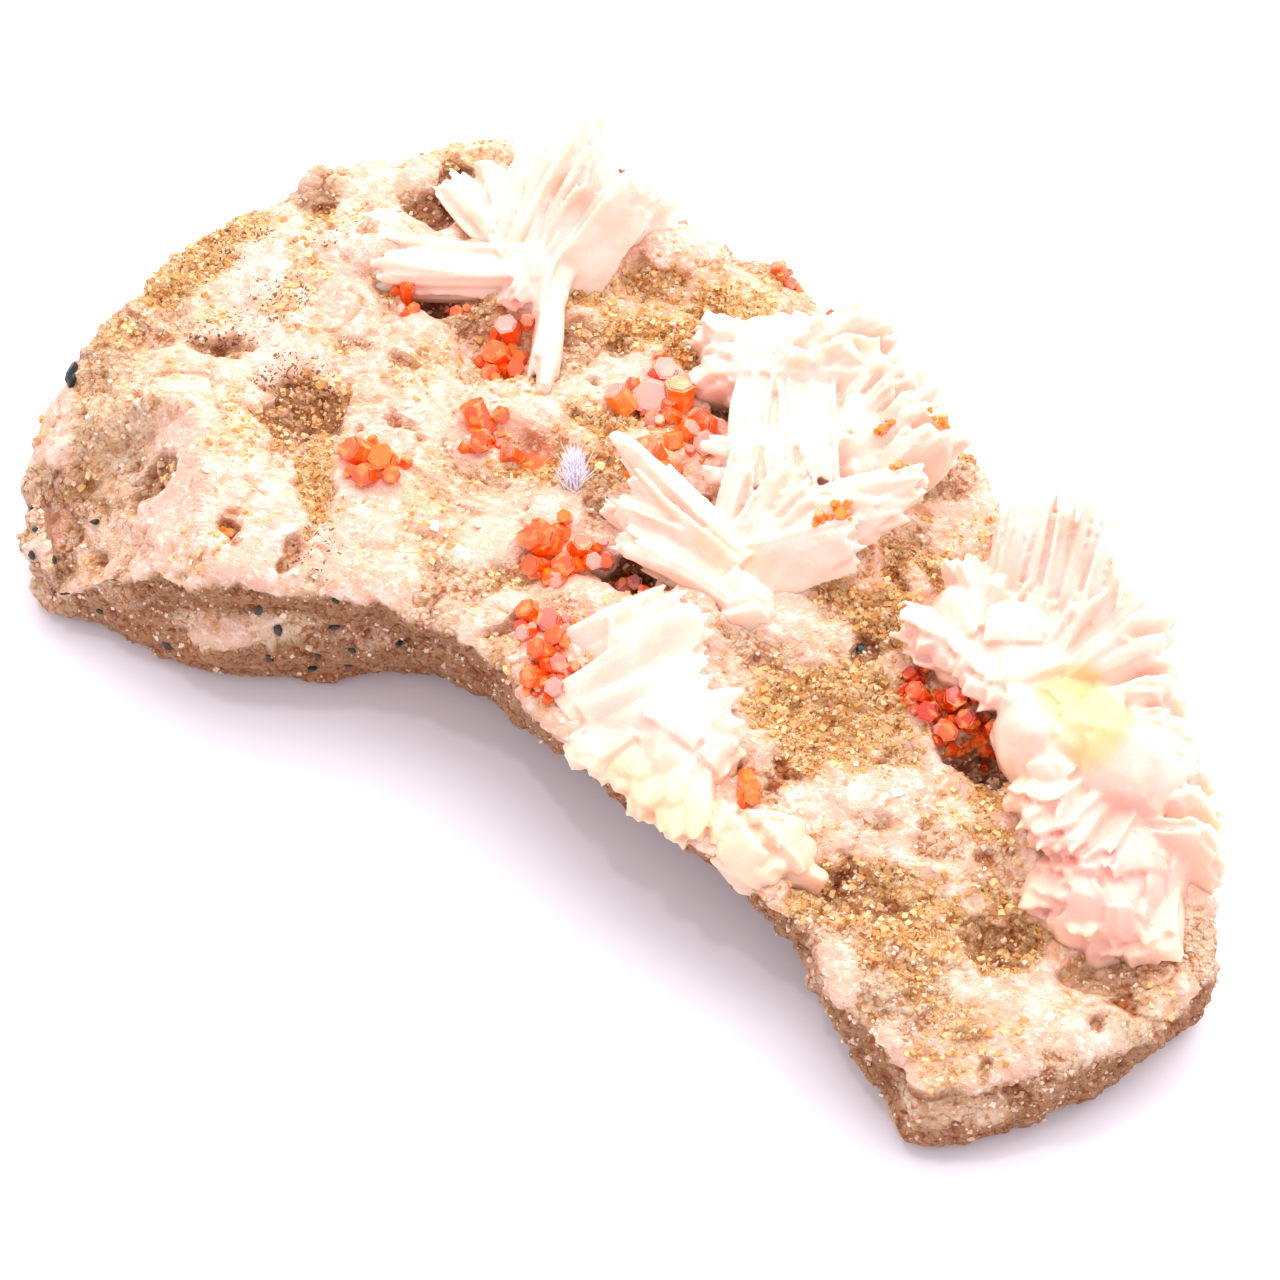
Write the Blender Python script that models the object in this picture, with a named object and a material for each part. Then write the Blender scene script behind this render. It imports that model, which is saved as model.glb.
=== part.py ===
"""Vanadinite crystals and white barite crests on a curved slab of matrix rock.

Run with: blender --background --python part.py
Frame: metres, +Z up. The slab lies on its two feet at z = 0, its long chord runs along X from
the broad end (-X) to the narrow end (+X), and its convex side faces +Y.
All lengths in the tables below are millimetres.
"""
import math
import random

import bmesh
import bpy
import numpy as np
from mathutils import Matrix, Quaternion, Vector, noise
from mathutils.bvhtree import BVHTree

MM = 0.001
UP = Vector((0.0, 0.0, 1.0))

# Matrix slab
ROCK_GRID = 0.75          # voxel of the even mesh that the relief is pressed into
ROCK_TRIANGLES = 3800
LIP = 1.1                 # how far the rim overhangs the wall just below it
FOOT_DEPTH = 0.04         # whatever is lower than this belongs to a flat foot
ROUGH_SCALES = ((8.0, 1.0), (3.4, 0.62), (1.7, 0.26))   # (lump size, height)
ROUGH_SEED = Vector((3.1, 7.7, 1.9))

# Stations from the broad end to the narrow end:
# front rim (x, y, z), back rim (x, y, z), how far the front and back feet stand back, base height
STATIONS = (
    ((-39.5, -16.5, 5.0), (-45.0, -9.0, 6.5), 0.5, 0.8, -0.6),
    ((-33.0, -15.6, 9.0), (-45.4, -3.0, 10.5), 0.6, 1.2, -0.6),
    ((-27.0, -15.6, 11.6), (-44.4, 5.0, 11.6), 1.0, 1.5, -0.6),
    ((-22.0, -13.6, 11.8), (-43.0, 14.0, 11.8), 1.6, 1.8, -0.5),
    ((-17.5, -10.8, 11.8), (-39.5, 21.0, 12.2), 1.8, 2.0, -0.5),
    ((-13.0, -8.7, 11.8), (-33.5, 27.5, 12.0), 2.4, 2.2, -0.3),
    ((-8.5, -8.7, 11.5), (-25.0, 33.0, 12.0), 3.6, 2.4, 0.8),
    ((-4.5, -10.0, 11.2), (-17.0, 31.3, 12.0), 4.4, 2.4, 2.4),
    ((1.5, -11.6, 11.0), (-9.5, 30.0, 11.6), 4.8, 2.6, 3.4),
    ((7.0, -12.8, 10.4), (-2.5, 30.0, 11.2), 4.6, 2.6, 3.8),
    ((13.5, -13.4, 9.8), (5.0, 27.0, 11.0), 4.2, 2.6, 3.8),
    ((19.0, -14.2, 9.3), (12.5, 22.8, 10.6), 3.4, 2.4, 3.4),
    ((24.5, -15.9, 8.6), (20.4, 19.9, 10.0), 2.0, 2.2, 2.6),
    ((28.5, -17.5, 7.8), (28.5, 15.0, 9.5), 1.2, 2.0, 1.0),
    ((32.7, -19.3, 6.8), (35.0, 10.5, 9.0), 0.8, 1.6, -0.4),
    ((37.0, -15.2, 6.8), (40.6, 5.0, 8.2), 0.6, 1.2, -0.6),
    ((40.6, -9.0, 6.2), (44.0, 0.5, 6.8), 0.2, 0.6, -0.5),
)

# Lumps (height > 0) and hollows (height < 0) pressed into the upper side:
# x, y, half length, half width, heading in degrees, height, share of the radius that is level
RELIEF = (
    (-39.4, 17.9, 2.4, 2.0, 30, 2.2, 0.3),      # granular knob on the back rim
    (-22.9, 31.0, 2.4, 1.6, 20, 1.3, 0.3),      # knob behind the back fan
    (-28.5, -8.6, 9.5, 5.2, -28, 1.3, 0.78),    # overhanging crust plate of the broad end
    (-36.5, -3.0, 4.5, 3.0, 60, 0.8, 0.5),
    (-32.1, 15.2, 3.6, 3.0, 35, 1.8, 0.3),      # pale lump left of the back fan
    (-32.8, 23.3, 3.4, 2.2, 40, 0.9, 0.3),
    (-15.0, 26.2, 2.6, 2.2, 30, 1.6, 0.3),      # pale lump right of the back fan
    (-15.5, 8.6, 2.4, 1.8, 35, 1.1, 0.3),
    (-20.6, 13.2, 5.0, 3.6, 30, -2.4, 0.45),    # ochre recess under the back fan
    (-28.1, 0.8, 3.2, 2.4, 20, -1.7, 0.3),      # brown cavity
    (-25.5, -10.8, 1.3, 1.1, 0, -2.2, 0.3),     # round hole in the crust plate
    (-33.2, -8.9, 1.9, 1.4, 60, -1.4, 0.2),     # druzy pit of the broad end
    (-36.4, 2.0, 2.4, 1.6, 50, -1.0, 0.2),
    (-23.1, 8.5, 1.0, 0.9, 0, -1.1, 0.2),
    (-31.7, 23.6, 1.6, 2.2, 40, -1.8, 0.3),     # two brown vugs behind
    (-31.2, 20.2, 2.2, 1.6, 30, -1.5, 0.3),
    (-26.7, 13.7, 2.7, 1.7, 30, -1.8, 0.4),
    (-16.6, 16.6, 1.9, 1.5, 40, -1.3, 0.2),     # grey pits
    (-13.4, 17.0, 1.2, 1.1, 0, -1.1, 0.2),
    (-13.0, 23.0, 5.6, 3.4, 20, -1.1, 0.3),     # ochre basin between the two back crests
    (-4.7, 17.4, 1.5, 1.3, 30, -2.0, 0.3),
    (-13.0, 7.2, 2.8, 2.2, 30, -1.9, 0.4),      # pocket of the barrel crystal
    (-2.4, 2.3, 2.6, 1.9, 30, -3.4, 0.5),       # deep dark hole in the middle
    (-7.0, -1.2, 2.6, 2.0, 30, -0.9, 0.3),
    (5.2, 3.4, 1.8, 0.9, -10, -1.6, 0.3),
    (13.5, 6.2, 1.2, 1.2, 0, -2.2, 0.3),
    (14.6, 0.0, 5.0, 3.8, 25, -1.4, 0.4),       # crumbling ochre field
    (9.5, 3.8, 3.4, 2.4, 20, 0.9, 0.3),
    (24.2, 4.2, 3.8, 2.8, 30, -3.0, 0.4),       # cavity below the end crest
    (22.3, -9.4, 6.0, 2.2, 8, -1.6, 0.3),       # rough hollows along the front of the narrow end
    (30.5, -7.0, 4.0, 2.2, 40, -1.7, 0.3),
    (27.0, -3.0, 3.0, 2.2, 30, 0.8, 0.3),
    (38.2, -5.1, 3.2, 1.7, 38, -1.6, 0.4),      # shallow cavity of the narrow end
    (33.0, -13.0, 4.0, 2.4, 40, 0.5, 0.3),
)

# Barite. A lump is centre (x, y, z) and radii. A row is a set of plates that turns evenly from the
# first (root, tip) to the last: number, width, thickness, roll (0 lies flat, 90 stands on edge)
# and width at the tip as a share.
BARITE = {
    "barite_back_fan": {
        "lumps": (((-22.6, 19.6, 11.0), (3.8, 4.2, 3.0)), ((-26.5, 24.5, 11.2), (4.2, 3.0, 2.4))),
        "rows": (
            (((-20.4, 20.2, 12.6), (-31.2, 13.0, 13.4)), None, 1, 4.0, 2.4, 80, 0.8),
            (((-21.0, 18.2, 12.2), (-28.8, 12.2, 13.0)), None, 1, 3.2, 1.8, 40, 0.7),
            (((-22.4, 20.4, 13.4), (-21.2, 14.8, 12.6)), ((-20.4, 20.6, 13.4), (-18.6, 15.4, 12.4)),
             2, 3.6, 1.6, 60, 0.8),
            (((-20.8, 19.2, 12.8), (-14.4, 9.4, 12.2)), None, 1, 3.6, 1.5, 88, 0.6),
            (((-24.2, 19.5, 11.4), (-27.0, 28.6, 16.0)), ((-19.8, 18.4, 11.4), (-17.6, 26.4, 18.8)),
             5, 4.6, 1.2, 46, 0.85),
            (((-23.2, 18.8, 11.5), (-22.8, 27.2, 20.4)), ((-21.6, 20.0, 12.0), (-20.9, 25.6, 20.6)),
             2, 3.6, 1.1, 70, 0.5),
            (((-24.5, 20.8, 11.4), (-31.6, 22.2, 13.6)), ((-24.0, 23.0, 11.4), (-24.8, 30.6, 16.4)),
             4, 4.8, 1.4, 42, 0.8),
            (((-20.0, 22.6, 11.8), (-16.4, 28.4, 15.4)), None, 1, 4.0, 1.2, 30, 0.9),
        ),
    },
    "barite_middle_crest": {
        "lumps": (
            ((-3.4, 21.6, 11.2), (5.4, 5.0, 4.2)),
            ((5.4, 18.8, 11.0), (4.6, 4.2, 3.8)),
            ((2.4, 12.4, 10.6), (4.2, 4.8, 3.2)),
            ((4.0, 4.6, 10.2), (4.0, 3.2, 2.4)),
        ),
        "rows": (
            (((-4.0, 21.0, 10.6), (-8.6, 20.6, 14.4)), ((-2.6, 21.6, 10.6), (2.0, 27.4, 15.6)),
             7, 6.0, 1.7, 84, 0.9),
            (((-4.0, 20.0, 10.8), (-6.8, 17.0, 14.2)), ((0.4, 20.6, 10.8), (2.6, 23.2, 17.2)),
             5, 5.4, 1.6, 70, 0.9),
            (((-3.4, 18.2, 12.4), (1.8, 9.4, 13.8)), ((0.9, 21.0, 12.6), (6.4, 12.6, 13.8)),
             6, 5.2, 0.9, 90, 0.75),
            (((1.6, 15.4, 12.2), (-3.1, 11.4, 14.8)), ((1.8, 13.8, 12.0), (-1.6, 9.6, 14.2)),
             2, 3.0, 1.1, 34, 0.6),
            (((3.8, 6.2, 11.6), (-7.9, 8.2, 15.4)), ((3.8, 5.2, 11.4), (-6.4, 5.0, 13.6)),
             2, 4.8, 1.4, 110, 0.6),
            (((4.4, 4.6, 11.2), (-4.4, 3.2, 12.8)), None, 1, 4.0, 1.4, 24, 0.8),
            (((2.4, 7.4, 11.6), (12.4, 17.0, 16.6)), ((4.2, 5.4, 11.4), (9.8, 10.8, 13.8)),
             4, 4.6, 1.2, 58, 0.65),
            (((2.2, 7.0, 11.6), (0.4, 12.8, 15.8)), ((4.2, 7.4, 11.6), (6.0, 12.6, 16.0)),
             3, 3.8, 1.1, 70, 0.7),
            (((3.2, 19.4, 11.0), (4.8, 25.2, 16.6)), ((7.4, 17.0, 11.0), (11.2, 21.4, 16.4)),
             5, 4.8, 1.1, 86, 1.0),
        ),
    },
    "barite_front_fan": {
        "lumps": (
            ((6.8, -7.4, 10.2), (5.6, 4.0, 2.8)),
            ((16.2, -10.4, 8.8), (4.2, 2.8, 2.4)),
            ((1.8, -2.8, 10.6), (4.0, 3.0, 1.9)),
        ),
        "rows": (
            (((0.6, -9.6, 11.0), (5.0, -0.6, 13.8)), ((7.2, -9.6, 10.8), (11.0, -4.4, 11.8)),
             4, 4.6, 1.4, 22, 0.8),
            (((-1.6, -5.6, 11.0), (2.0, 0.4, 13.2)), ((0.8, -5.6, 11.0), (5.6, 1.0, 14.0)),
             2, 3.6, 1.2, 14, 0.9),
            (((4.4, -8.4, 11.2), (3.4, -12.4, 10.8)), ((9.4, -8.8, 10.6), (12.6, -13.0, 10.0)),
             4, 4.0, 1.6, 8, 0.9),
        ),
    },
    "barite_end_crest": {
        "lumps": (
            ((21.8, 10.8, 10.2), (6.4, 4.4, 4.4)),
            ((30.4, 7.6, 9.6), (6.0, 5.0, 4.2)),
            ((36.0, 0.2, 8.0), (4.2, 5.2, 3.4)),
        ),
        "rows": (
            (((20.4, 11.4, 10.6), (15.2, 6.4, 13.4)), ((27.0, 10.0, 10.6), (25.2, 5.4, 12.8)),
             6, 4.8, 2.0, 14, 0.85),
            (((20.2, 11.8, 10.4), (17.4, 17.8, 17.6)), ((23.0, 13.4, 10.4), (20.8, 19.4, 18.8)),
             4, 5.0, 1.0, 90, 0.95),
            (((24.6, 12.6, 10.4), (22.4, 19.6, 19.0)), ((27.0, 11.8, 10.4), (25.6, 18.0, 17.2)),
             3, 4.8, 1.0, 90, 0.9),
            (((19.6, 12.0, 10.4), (15.6, 13.4, 14.4)), ((26.6, 10.6, 10.8), (29.4, 16.6, 15.8)),
             5, 5.2, 1.8, 74, 0.9),
            (((27.6, 10.4, 10.8), (31.8, 14.2, 14.8)), ((36.6, 3.8, 8.4), (41.4, 5.4, 10.6)),
             6, 5.6, 1.4, 72, 0.9),
            (((29.6, 5.8, 9.6), (29.2, -0.6, 11.6)), ((33.6, 5.0, 9.4), (34.6, -1.8, 11.2)),
             3, 5.0, 2.0, 30, 0.9),
            (((33.0, 0.6, 8.4), (33.8, -4.6, 9.4)), ((38.2, 0.8, 8.0), (40.6, -3.6, 8.6)),
             4, 5.0, 2.2, 18, 0.9),
        ),
    },
}

# Vanadinite: name, centre (x, y), spread, number of crystals, crystal radius, seed.
# Every crystal is a short six-sided prism.
VANADINITE = (
    ("vanadinite_vug_left", -27.5, 12.1, 1.3, 3, 0.75, 3),
    ("vanadinite_vug_right", -25.2, 13.4, 0.5, 1, 0.7, 4),
    ("vanadinite_recess", -19.2, 12.4, 2.0, 5, 0.95, 5),
    ("vanadinite_broad_end", -20.5, -1.2, 1.4, 3, 1.1, 6),
    ("vanadinite_recess_lip", -16.4, 5.2, 1.3, 3, 0.95, 7),
    ("vanadinite_barrel", -12.8, 5.7, 0.7, 2, 1.1, 8),
    ("vanadinite_plates", -7.9, 14.9, 1.7, 5, 1.35, 9),
    ("vanadinite_tabular", -4.2, 14.0, 0.9, 2, 1.1, 10),
    ("vanadinite_behind_blade", -5.6, 9.8, 1.2, 3, 0.95, 11),
    ("vanadinite_middle", -7.4, 0.2, 2.3, 8, 1.05, 12),
    ("vanadinite_dark_hole", -2.4, 2.4, 0.9, 3, 0.8, 13),
    ("vanadinite_front_upper", -3.7, -5.2, 1.7, 5, 0.95, 14),
    ("vanadinite_front_lower", -1.7, -8.3, 1.7, 6, 0.95, 15),
    ("vanadinite_crust_hole", -25.5, -10.8, 0.4, 1, 0.6, 16),
    ("vanadinite_crumb_field", 13.2, -7.2, 0.8, 2, 0.95, 17),
    ("vanadinite_nest", 21.0, 5.4, 3.2, 10, 1.1, 18),
    ("vanadinite_back_rim", -7.6, 29.2, 0.7, 2, 0.75, 19),
    ("vanadinite_back_rim_right", -2.6, 29.3, 1.1, 3, 0.75, 20),
    ("vanadinite_crest_foot", 9.4, 16.8, 1.5, 5, 0.75, 22),
    ("vanadinite_ochre", 8.0, 11.2, 0.9, 3, 0.7, 23),
    ("vanadinite_end_back", 17.4, 18.8, 0.6, 2, 0.7, 24),
)

# Pale tuft of needles: centre (x, y), length of the needles, number
TUFT = (-9.6, 6.4, 2.6, 9)

CLEARANCE = 0.35      # left between two minerals that touch
KEPT_SHARE = {"barite": 0.55, "vanadinite": 0.75, "tuft": 0.75}   # of a cluster's triangles

# Plates and lumps
CROSS_SECTION = ((1.0, 0.5), (-1.0, 0.5), (-1.0, -0.5), (1.0, -0.5))
PLATE_STEPS = ((0.0, 0.8, 1.0), (0.7, 1.0, 0.9), (1.0, 0.8, 0.4))   # along, width share, thickness share
LUMP_UNEVEN = 0.16    # how far a lump's surface strays, as a share of its radii
SUNK_SHARE = 0.3      # a prism's centre stands this share of its height above the rock

COLOURS = {
    "matrix": ((0.56, 0.33, 0.21), 0.85),
    "barite": ((0.93, 0.84, 0.80), 0.45),
    "vanadinite": ((0.80, 0.09, 0.01), 0.18),
    "tuft": ((0.80, 0.78, 0.92), 0.40),
}


def clear_scene():
    """Take away whatever the start-up file holds."""
    for obj in list(bpy.data.objects):
        bpy.data.objects.remove(obj, do_unlink=True)


def make_material(name):
    """A Principled material with the mineral's colour and roughness."""
    colour, roughness = COLOURS[name]
    material = bpy.data.materials.new(name)
    material.use_nodes = True
    shader = material.node_tree.nodes["Principled BSDF"]
    shader.inputs["Base Color"].default_value = (*colour, 1.0)
    shader.inputs["Roughness"].default_value = roughness
    shader.inputs["Metallic"].default_value = 0.0
    material.diffuse_color = (*colour, 1.0)
    return material


def add_object(name, mesh):
    obj = bpy.data.objects.new(name, mesh)
    bpy.context.scene.collection.objects.link(obj)
    return obj


def mesh_object(name, bm):
    mesh = bpy.data.meshes.new(name)
    bm.to_mesh(mesh)
    bm.free()
    return add_object(name, mesh)


def settle(obj):
    """Replace the object's mesh by what its modifiers make of it."""
    graph = bpy.context.evaluated_depsgraph_get()
    mesh = bpy.data.meshes.new_from_object(obj.evaluated_get(graph))
    obj.modifiers.clear()
    obj.data = mesh


def smoothstep(low, high, value):
    share = np.clip((value - low) / (high - low), 0.0, 1.0)
    return share * share * (3.0 - 2.0 * share)


# ---------------------------------------------------------------- matrix rock

def station_ring(front, back, front_inset, back_inset, base):
    """Twelve points round the slab at one station, from the front foot over the top."""
    front, back = Vector(front), Vector(back)
    across = back - front
    across.z = 0.0
    across.normalize()

    def wall(rim, inset, share, side):
        point = rim + across * (side * inset * share)
        point.z = rim.z + (base - rim.z) * share
        return point

    ring = [wall(front, front_inset, 1.0, 1), wall(front, front_inset - 0.6, 0.55, 1)]
    ring.append(wall(front, front_inset + LIP / 0.2, 0.2, 1))
    ring += [front.lerp(back, share) for share in (0.0, 0.25, 0.5, 0.75, 1.0)]
    ring.append(wall(back, back_inset + LIP / 0.2, 0.2, -1))
    ring += [wall(back, back_inset - 0.8, 0.55, -1), wall(back, back_inset, 1.0, -1)]
    middle = front.lerp(back, 0.5)
    middle.z = base
    ring.append(middle)
    return ring


def slab_body():
    """The plain slab: one ring of points for each station, joined by faces."""
    bm = bmesh.new()
    rings = []
    for station in STATIONS:
        rings.append([bm.verts.new(point * MM) for point in station_ring(*station)])
    for ring, following in zip(rings, rings[1:]):
        count = len(ring)
        for k in range(count):
            after = (k + 1) % count
            bm.faces.new((ring[k], ring[after], following[after], following[k]))
    bm.faces.new(rings[0][::-1])
    bm.faces.new(rings[-1])
    bmesh.ops.recalc_face_normals(bm, faces=bm.faces)
    bmesh.ops.triangulate(bm, faces=bm.faces)
    return mesh_object("matrix", bm)


def even_mesh(obj, size):
    remesh = obj.modifiers.new("even mesh", 'REMESH')
    remesh.mode = 'VOXEL'
    remesh.voxel_size = size * MM
    settle(obj)


def read_vertices(mesh):
    places = np.empty(len(mesh.vertices) * 3, dtype=np.float32)
    mesh.vertices.foreach_get("co", places)
    normals = np.empty(len(mesh.vertices) * 3, dtype=np.float32)
    mesh.vertices.foreach_get("normal", normals)
    return places.reshape(-1, 3) / MM, normals.reshape(-1, 3)


def write_vertices(mesh, places):
    mesh.vertices.foreach_set("co", (places * MM).astype(np.float32).ravel())
    mesh.update()


def press_relief(obj):
    """Raise the lumps and sink the hollows, on faces that look upward."""
    places, normals = read_vertices(obj.data)
    upward = smoothstep(0.15, 0.75, normals[:, 2])
    for x, y, length, width, heading, height, level in RELIEF:
        turn = math.radians(heading)
        along = (places[:, 0] - x) * math.cos(turn) + (places[:, 1] - y) * math.sin(turn)
        aside = (places[:, 1] - y) * math.cos(turn) - (places[:, 0] - x) * math.sin(turn)
        radius = np.hypot(along / length, aside / width)
        places[:, 2] += height * upward * (1.0 - smoothstep(level, 1.0, radius))
    write_vertices(obj.data, places)


def roughen(obj):
    """Broken rock: ridged noise at several scales, along the normals."""
    places, normals = read_vertices(obj.data)
    for size, height in ROUGH_SCALES:
        amount = [noise.noise(Vector(p) / size + ROUGH_SEED) for p in places]
        places += normals * (height * np.array(amount, dtype=np.float32))[:, None]
    write_vertices(obj.data, places)


def thin_out(obj, ratio):
    """Collapse the edges that shape the solid least."""
    decimate = obj.modifiers.new("fewer triangles", 'DECIMATE')
    decimate.ratio = ratio
    decimate.use_collapse_triangulate = True
    settle(obj)


def cut_flat(obj):
    """Two flat feet at z = 0, where the slab rests."""
    bm = bmesh.new()
    bm.from_mesh(obj.data)
    everything = bm.verts[:] + bm.edges[:] + bm.faces[:]
    bmesh.ops.bisect_plane(bm, geom=everything, plane_co=(0, 0, 0), plane_no=UP,
                           dist=0.02 * MM, clear_inner=True)
    loose_edges = [edge for edge in bm.edges if edge.is_wire]
    bmesh.ops.delete(bm, geom=loose_edges, context='EDGES')
    open_edges = [edge for edge in bm.edges if edge.is_boundary]
    bmesh.ops.holes_fill(bm, edges=open_edges, sides=0)
    bmesh.ops.triangulate(bm, faces=bm.faces)
    bmesh.ops.recalc_face_normals(bm, faces=bm.faces)
    bm.to_mesh(obj.data)
    bm.free()


def level_feet(obj):
    """Bring the feet back to z = 0 exactly, where thinning has shifted them."""
    places, _ = read_vertices(obj.data)
    places[places[:, 2] < FOOT_DEPTH, 2] = 0.0
    write_vertices(obj.data, places)


def make_matrix():
    rock = slab_body()
    even_mesh(rock, ROCK_GRID)
    press_relief(rock)
    even_mesh(rock, ROCK_GRID)
    roughen(rock)
    cut_flat(rock)
    thin_out(rock, ROCK_TRIANGLES / len(rock.data.polygons))
    level_feet(rock)
    return rock


# ---------------------------------------------------------------- crystals

def plate(root, tip, width, thickness, roll, tip_width):
    """One tabular crystal: a flat plate from root to tip, thinned to a chisel edge."""
    axis = (tip - root).normalized()
    level = axis.cross(UP).normalized()
    side = Quaternion(axis, math.radians(roll)) @ level
    face = axis.cross(side)
    bm = bmesh.new()
    rings = []
    for along, share, fat in PLATE_STEPS:
        centre = root.lerp(tip, along)
        half = width / 2 * share * (1.0 + (tip_width - 1.0) * along)
        ring = [centre + side * (a * half) + face * (b * thickness * fat) for a, b in CROSS_SECTION]
        rings.append([bm.verts.new(point * MM) for point in ring])
    for ring, following in zip(rings, rings[1:]):
        for k in range(4):
            after = (k + 1) % 4
            bm.faces.new((ring[k], ring[after], following[after], following[k]))
    bm.faces.new(rings[0][::-1])
    bm.faces.new(rings[-1])
    bmesh.ops.recalc_face_normals(bm, faces=bm.faces)
    return mesh_object("plate", bm)


def plate_row(rng, first, last, count, width, thickness, roll, tip_width):
    """Plates that turn from the first root and tip to the last, each a little different."""
    last = last or first
    plates = []
    for k in range(count):
        share = k / max(count - 1, 1)
        root = Vector(first[0]).lerp(Vector(last[0]), share)
        tip = Vector(first[1]).lerp(Vector(last[1]), share)
        tip += (tip - root) * rng.uniform(-0.14, 0.06)
        size = rng.uniform(0.85, 1.1)
        turn = roll + rng.uniform(-9, 9)
        plates.append(plate(root, tip, width * size, thickness * size, turn, tip_width))
    return plates


def lump(centre, radii, seed):
    """A faceted rounded mass that blades stand in."""
    bm = bmesh.new()
    bmesh.ops.create_icosphere(bm, subdivisions=2, radius=1.0)
    for vert in bm.verts:
        push = 1.0 + LUMP_UNEVEN * noise.noise(vert.co * 1.7 + Vector((seed, 0, 0)))
        vert.co = Vector([c + v * r * push for c, v, r in zip(centre, vert.co, radii)]) * MM
    return mesh_object("lump", bm)


def prism(centre, axis, radius, height):
    """One six-sided vanadinite prism with its axis tilted."""
    bm = bmesh.new()
    bmesh.ops.create_cone(bm, cap_ends=True, segments=6, radius1=radius * MM, radius2=radius * MM,
                          depth=height * MM)
    turn = UP.rotation_difference(axis).to_matrix().to_4x4()
    bm.transform(Matrix.Translation(Vector(centre) * MM) @ turn)
    return mesh_object("prism", bm)


def combine(name, pieces):
    """Join overlapping solids in one closed solid."""
    first, others = pieces[0], pieces[1:]
    for other in others:
        union = first.modifiers.new("union", 'BOOLEAN')
        union.operation = 'UNION'
        union.object = other
    settle(first)
    for other in others:
        bpy.data.objects.remove(other, do_unlink=True)
    first.name = name
    return first


def swollen(source, clearance):
    """A hidden copy of a solid, grown by the clearance, to cut its neighbours with."""
    cutter = add_object("cutter", source.data.copy())
    places, normals = read_vertices(cutter.data)
    write_vertices(cutter.data, places + normals * clearance)
    cutter.hide_render = True
    cutter.display_type = 'WIRE'
    return cutter


def carve(obj, cutter):
    cut = obj.modifiers.new("clearance", 'BOOLEAN')
    cut.operation = 'DIFFERENCE'
    cut.object = cutter
    cut.use_self = True
    settle(obj)


def keep_largest(obj):
    """Drop the crumbs that a cut leaves."""
    bm = bmesh.new()
    bm.from_mesh(obj.data)
    waiting = set(bm.verts)
    islands = []
    while waiting:
        front = [waiting.pop()]
        island = list(front)
        while front:
            for edge in front.pop().link_edges:
                for vert in edge.verts:
                    if vert in waiting:
                        waiting.discard(vert)
                        front.append(vert)
                        island.append(vert)
        islands.append(island)
    islands.sort(key=len)
    for island in islands[:-1]:
        bmesh.ops.delete(bm, geom=island, context='VERTS')
    bmesh.ops.triangulate(bm, faces=bm.faces)
    bmesh.ops.recalc_face_normals(bm, faces=bm.faces)
    bm.to_mesh(obj.data)
    bm.free()


def make_barite(name, parts):
    rng = random.Random(len(parts["rows"]))
    pieces = [lump(centre, radii, 3.7 * k) for k, (centre, radii) in enumerate(parts["lumps"])]
    for row in parts["rows"]:
        pieces += plate_row(rng, *row)
    return combine(name, pieces)


def surface_point(tree, x, y):
    """The place on the slab's upper side at x, y, or the nearest one where that is past its rim."""
    place = tree.ray_cast(Vector((x * MM, y * MM, 0.1)), -UP)[0]
    if place is None:
        place = tree.find_nearest(Vector((x, y, 11.0)) * MM)[0]
    return place / MM


def make_vanadinite(tree, name, x, y, spread, count, radius, seed):
    """A cluster of prisms, set round the middle one like seeds in a flower head."""
    rng = random.Random(seed)
    places = [(x, y)]
    for k in range(1, count):
        turn = 2.4 * k + rng.uniform(-0.4, 0.4)
        reach = spread * math.sqrt(k / count)
        places.append((x + reach * math.cos(turn), y + reach * math.sin(turn)))
    pieces = []
    for px, py in places:
        size = radius * rng.uniform(0.8, 1.1)
        height = size * rng.uniform(1.3, 1.9)
        axis = Vector((rng.uniform(-0.7, 0.7), rng.uniform(-0.9, 0.3), 1.0)).normalized()
        centre = surface_point(tree, px, py) + axis * (height * SUNK_SHARE)
        pieces.append(prism(centre, axis, size, height))
    return combine(name, pieces)


def make_tuft(tree, x, y, length, count):
    """Short needles standing from one root."""
    rng = random.Random(31)
    base = surface_point(tree, x, y)
    pieces = [prism(base + UP * 0.3, UP, 0.9, 1.6)]
    for k in range(count):
        turn = math.tau * k / count
        lean = rng.uniform(0.2, 0.9)
        axis = Vector((lean * math.cos(turn), lean * math.sin(turn), 1.0)).normalized()
        centre = base + axis * (length * 0.35)
        pieces.append(prism(centre, axis, 0.28, length * rng.uniform(0.7, 1.0)))
    return combine("pale_tuft", pieces)


def boxes_meet(first, second, margin):
    a = np.array([first.matrix_world @ Vector(c) for c in first.bound_box]) / MM
    b = np.array([second.matrix_world @ Vector(c) for c in second.bound_box]) / MM
    return bool(np.all(a.min(0) - margin < b.max(0)) and np.all(b.min(0) - margin < a.max(0)))


def centre_on_box(objects):
    """Set the frame's origin below the middle of the whole specimen's box."""
    places = np.concatenate([read_vertices(obj.data)[0] for obj in objects])
    middle = (places.min(0) + places.max(0)) / 2
    shift = Matrix.Translation((-middle[0] * MM, -middle[1] * MM, 0.0))
    for obj in objects:
        obj.data.transform(shift)


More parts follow.
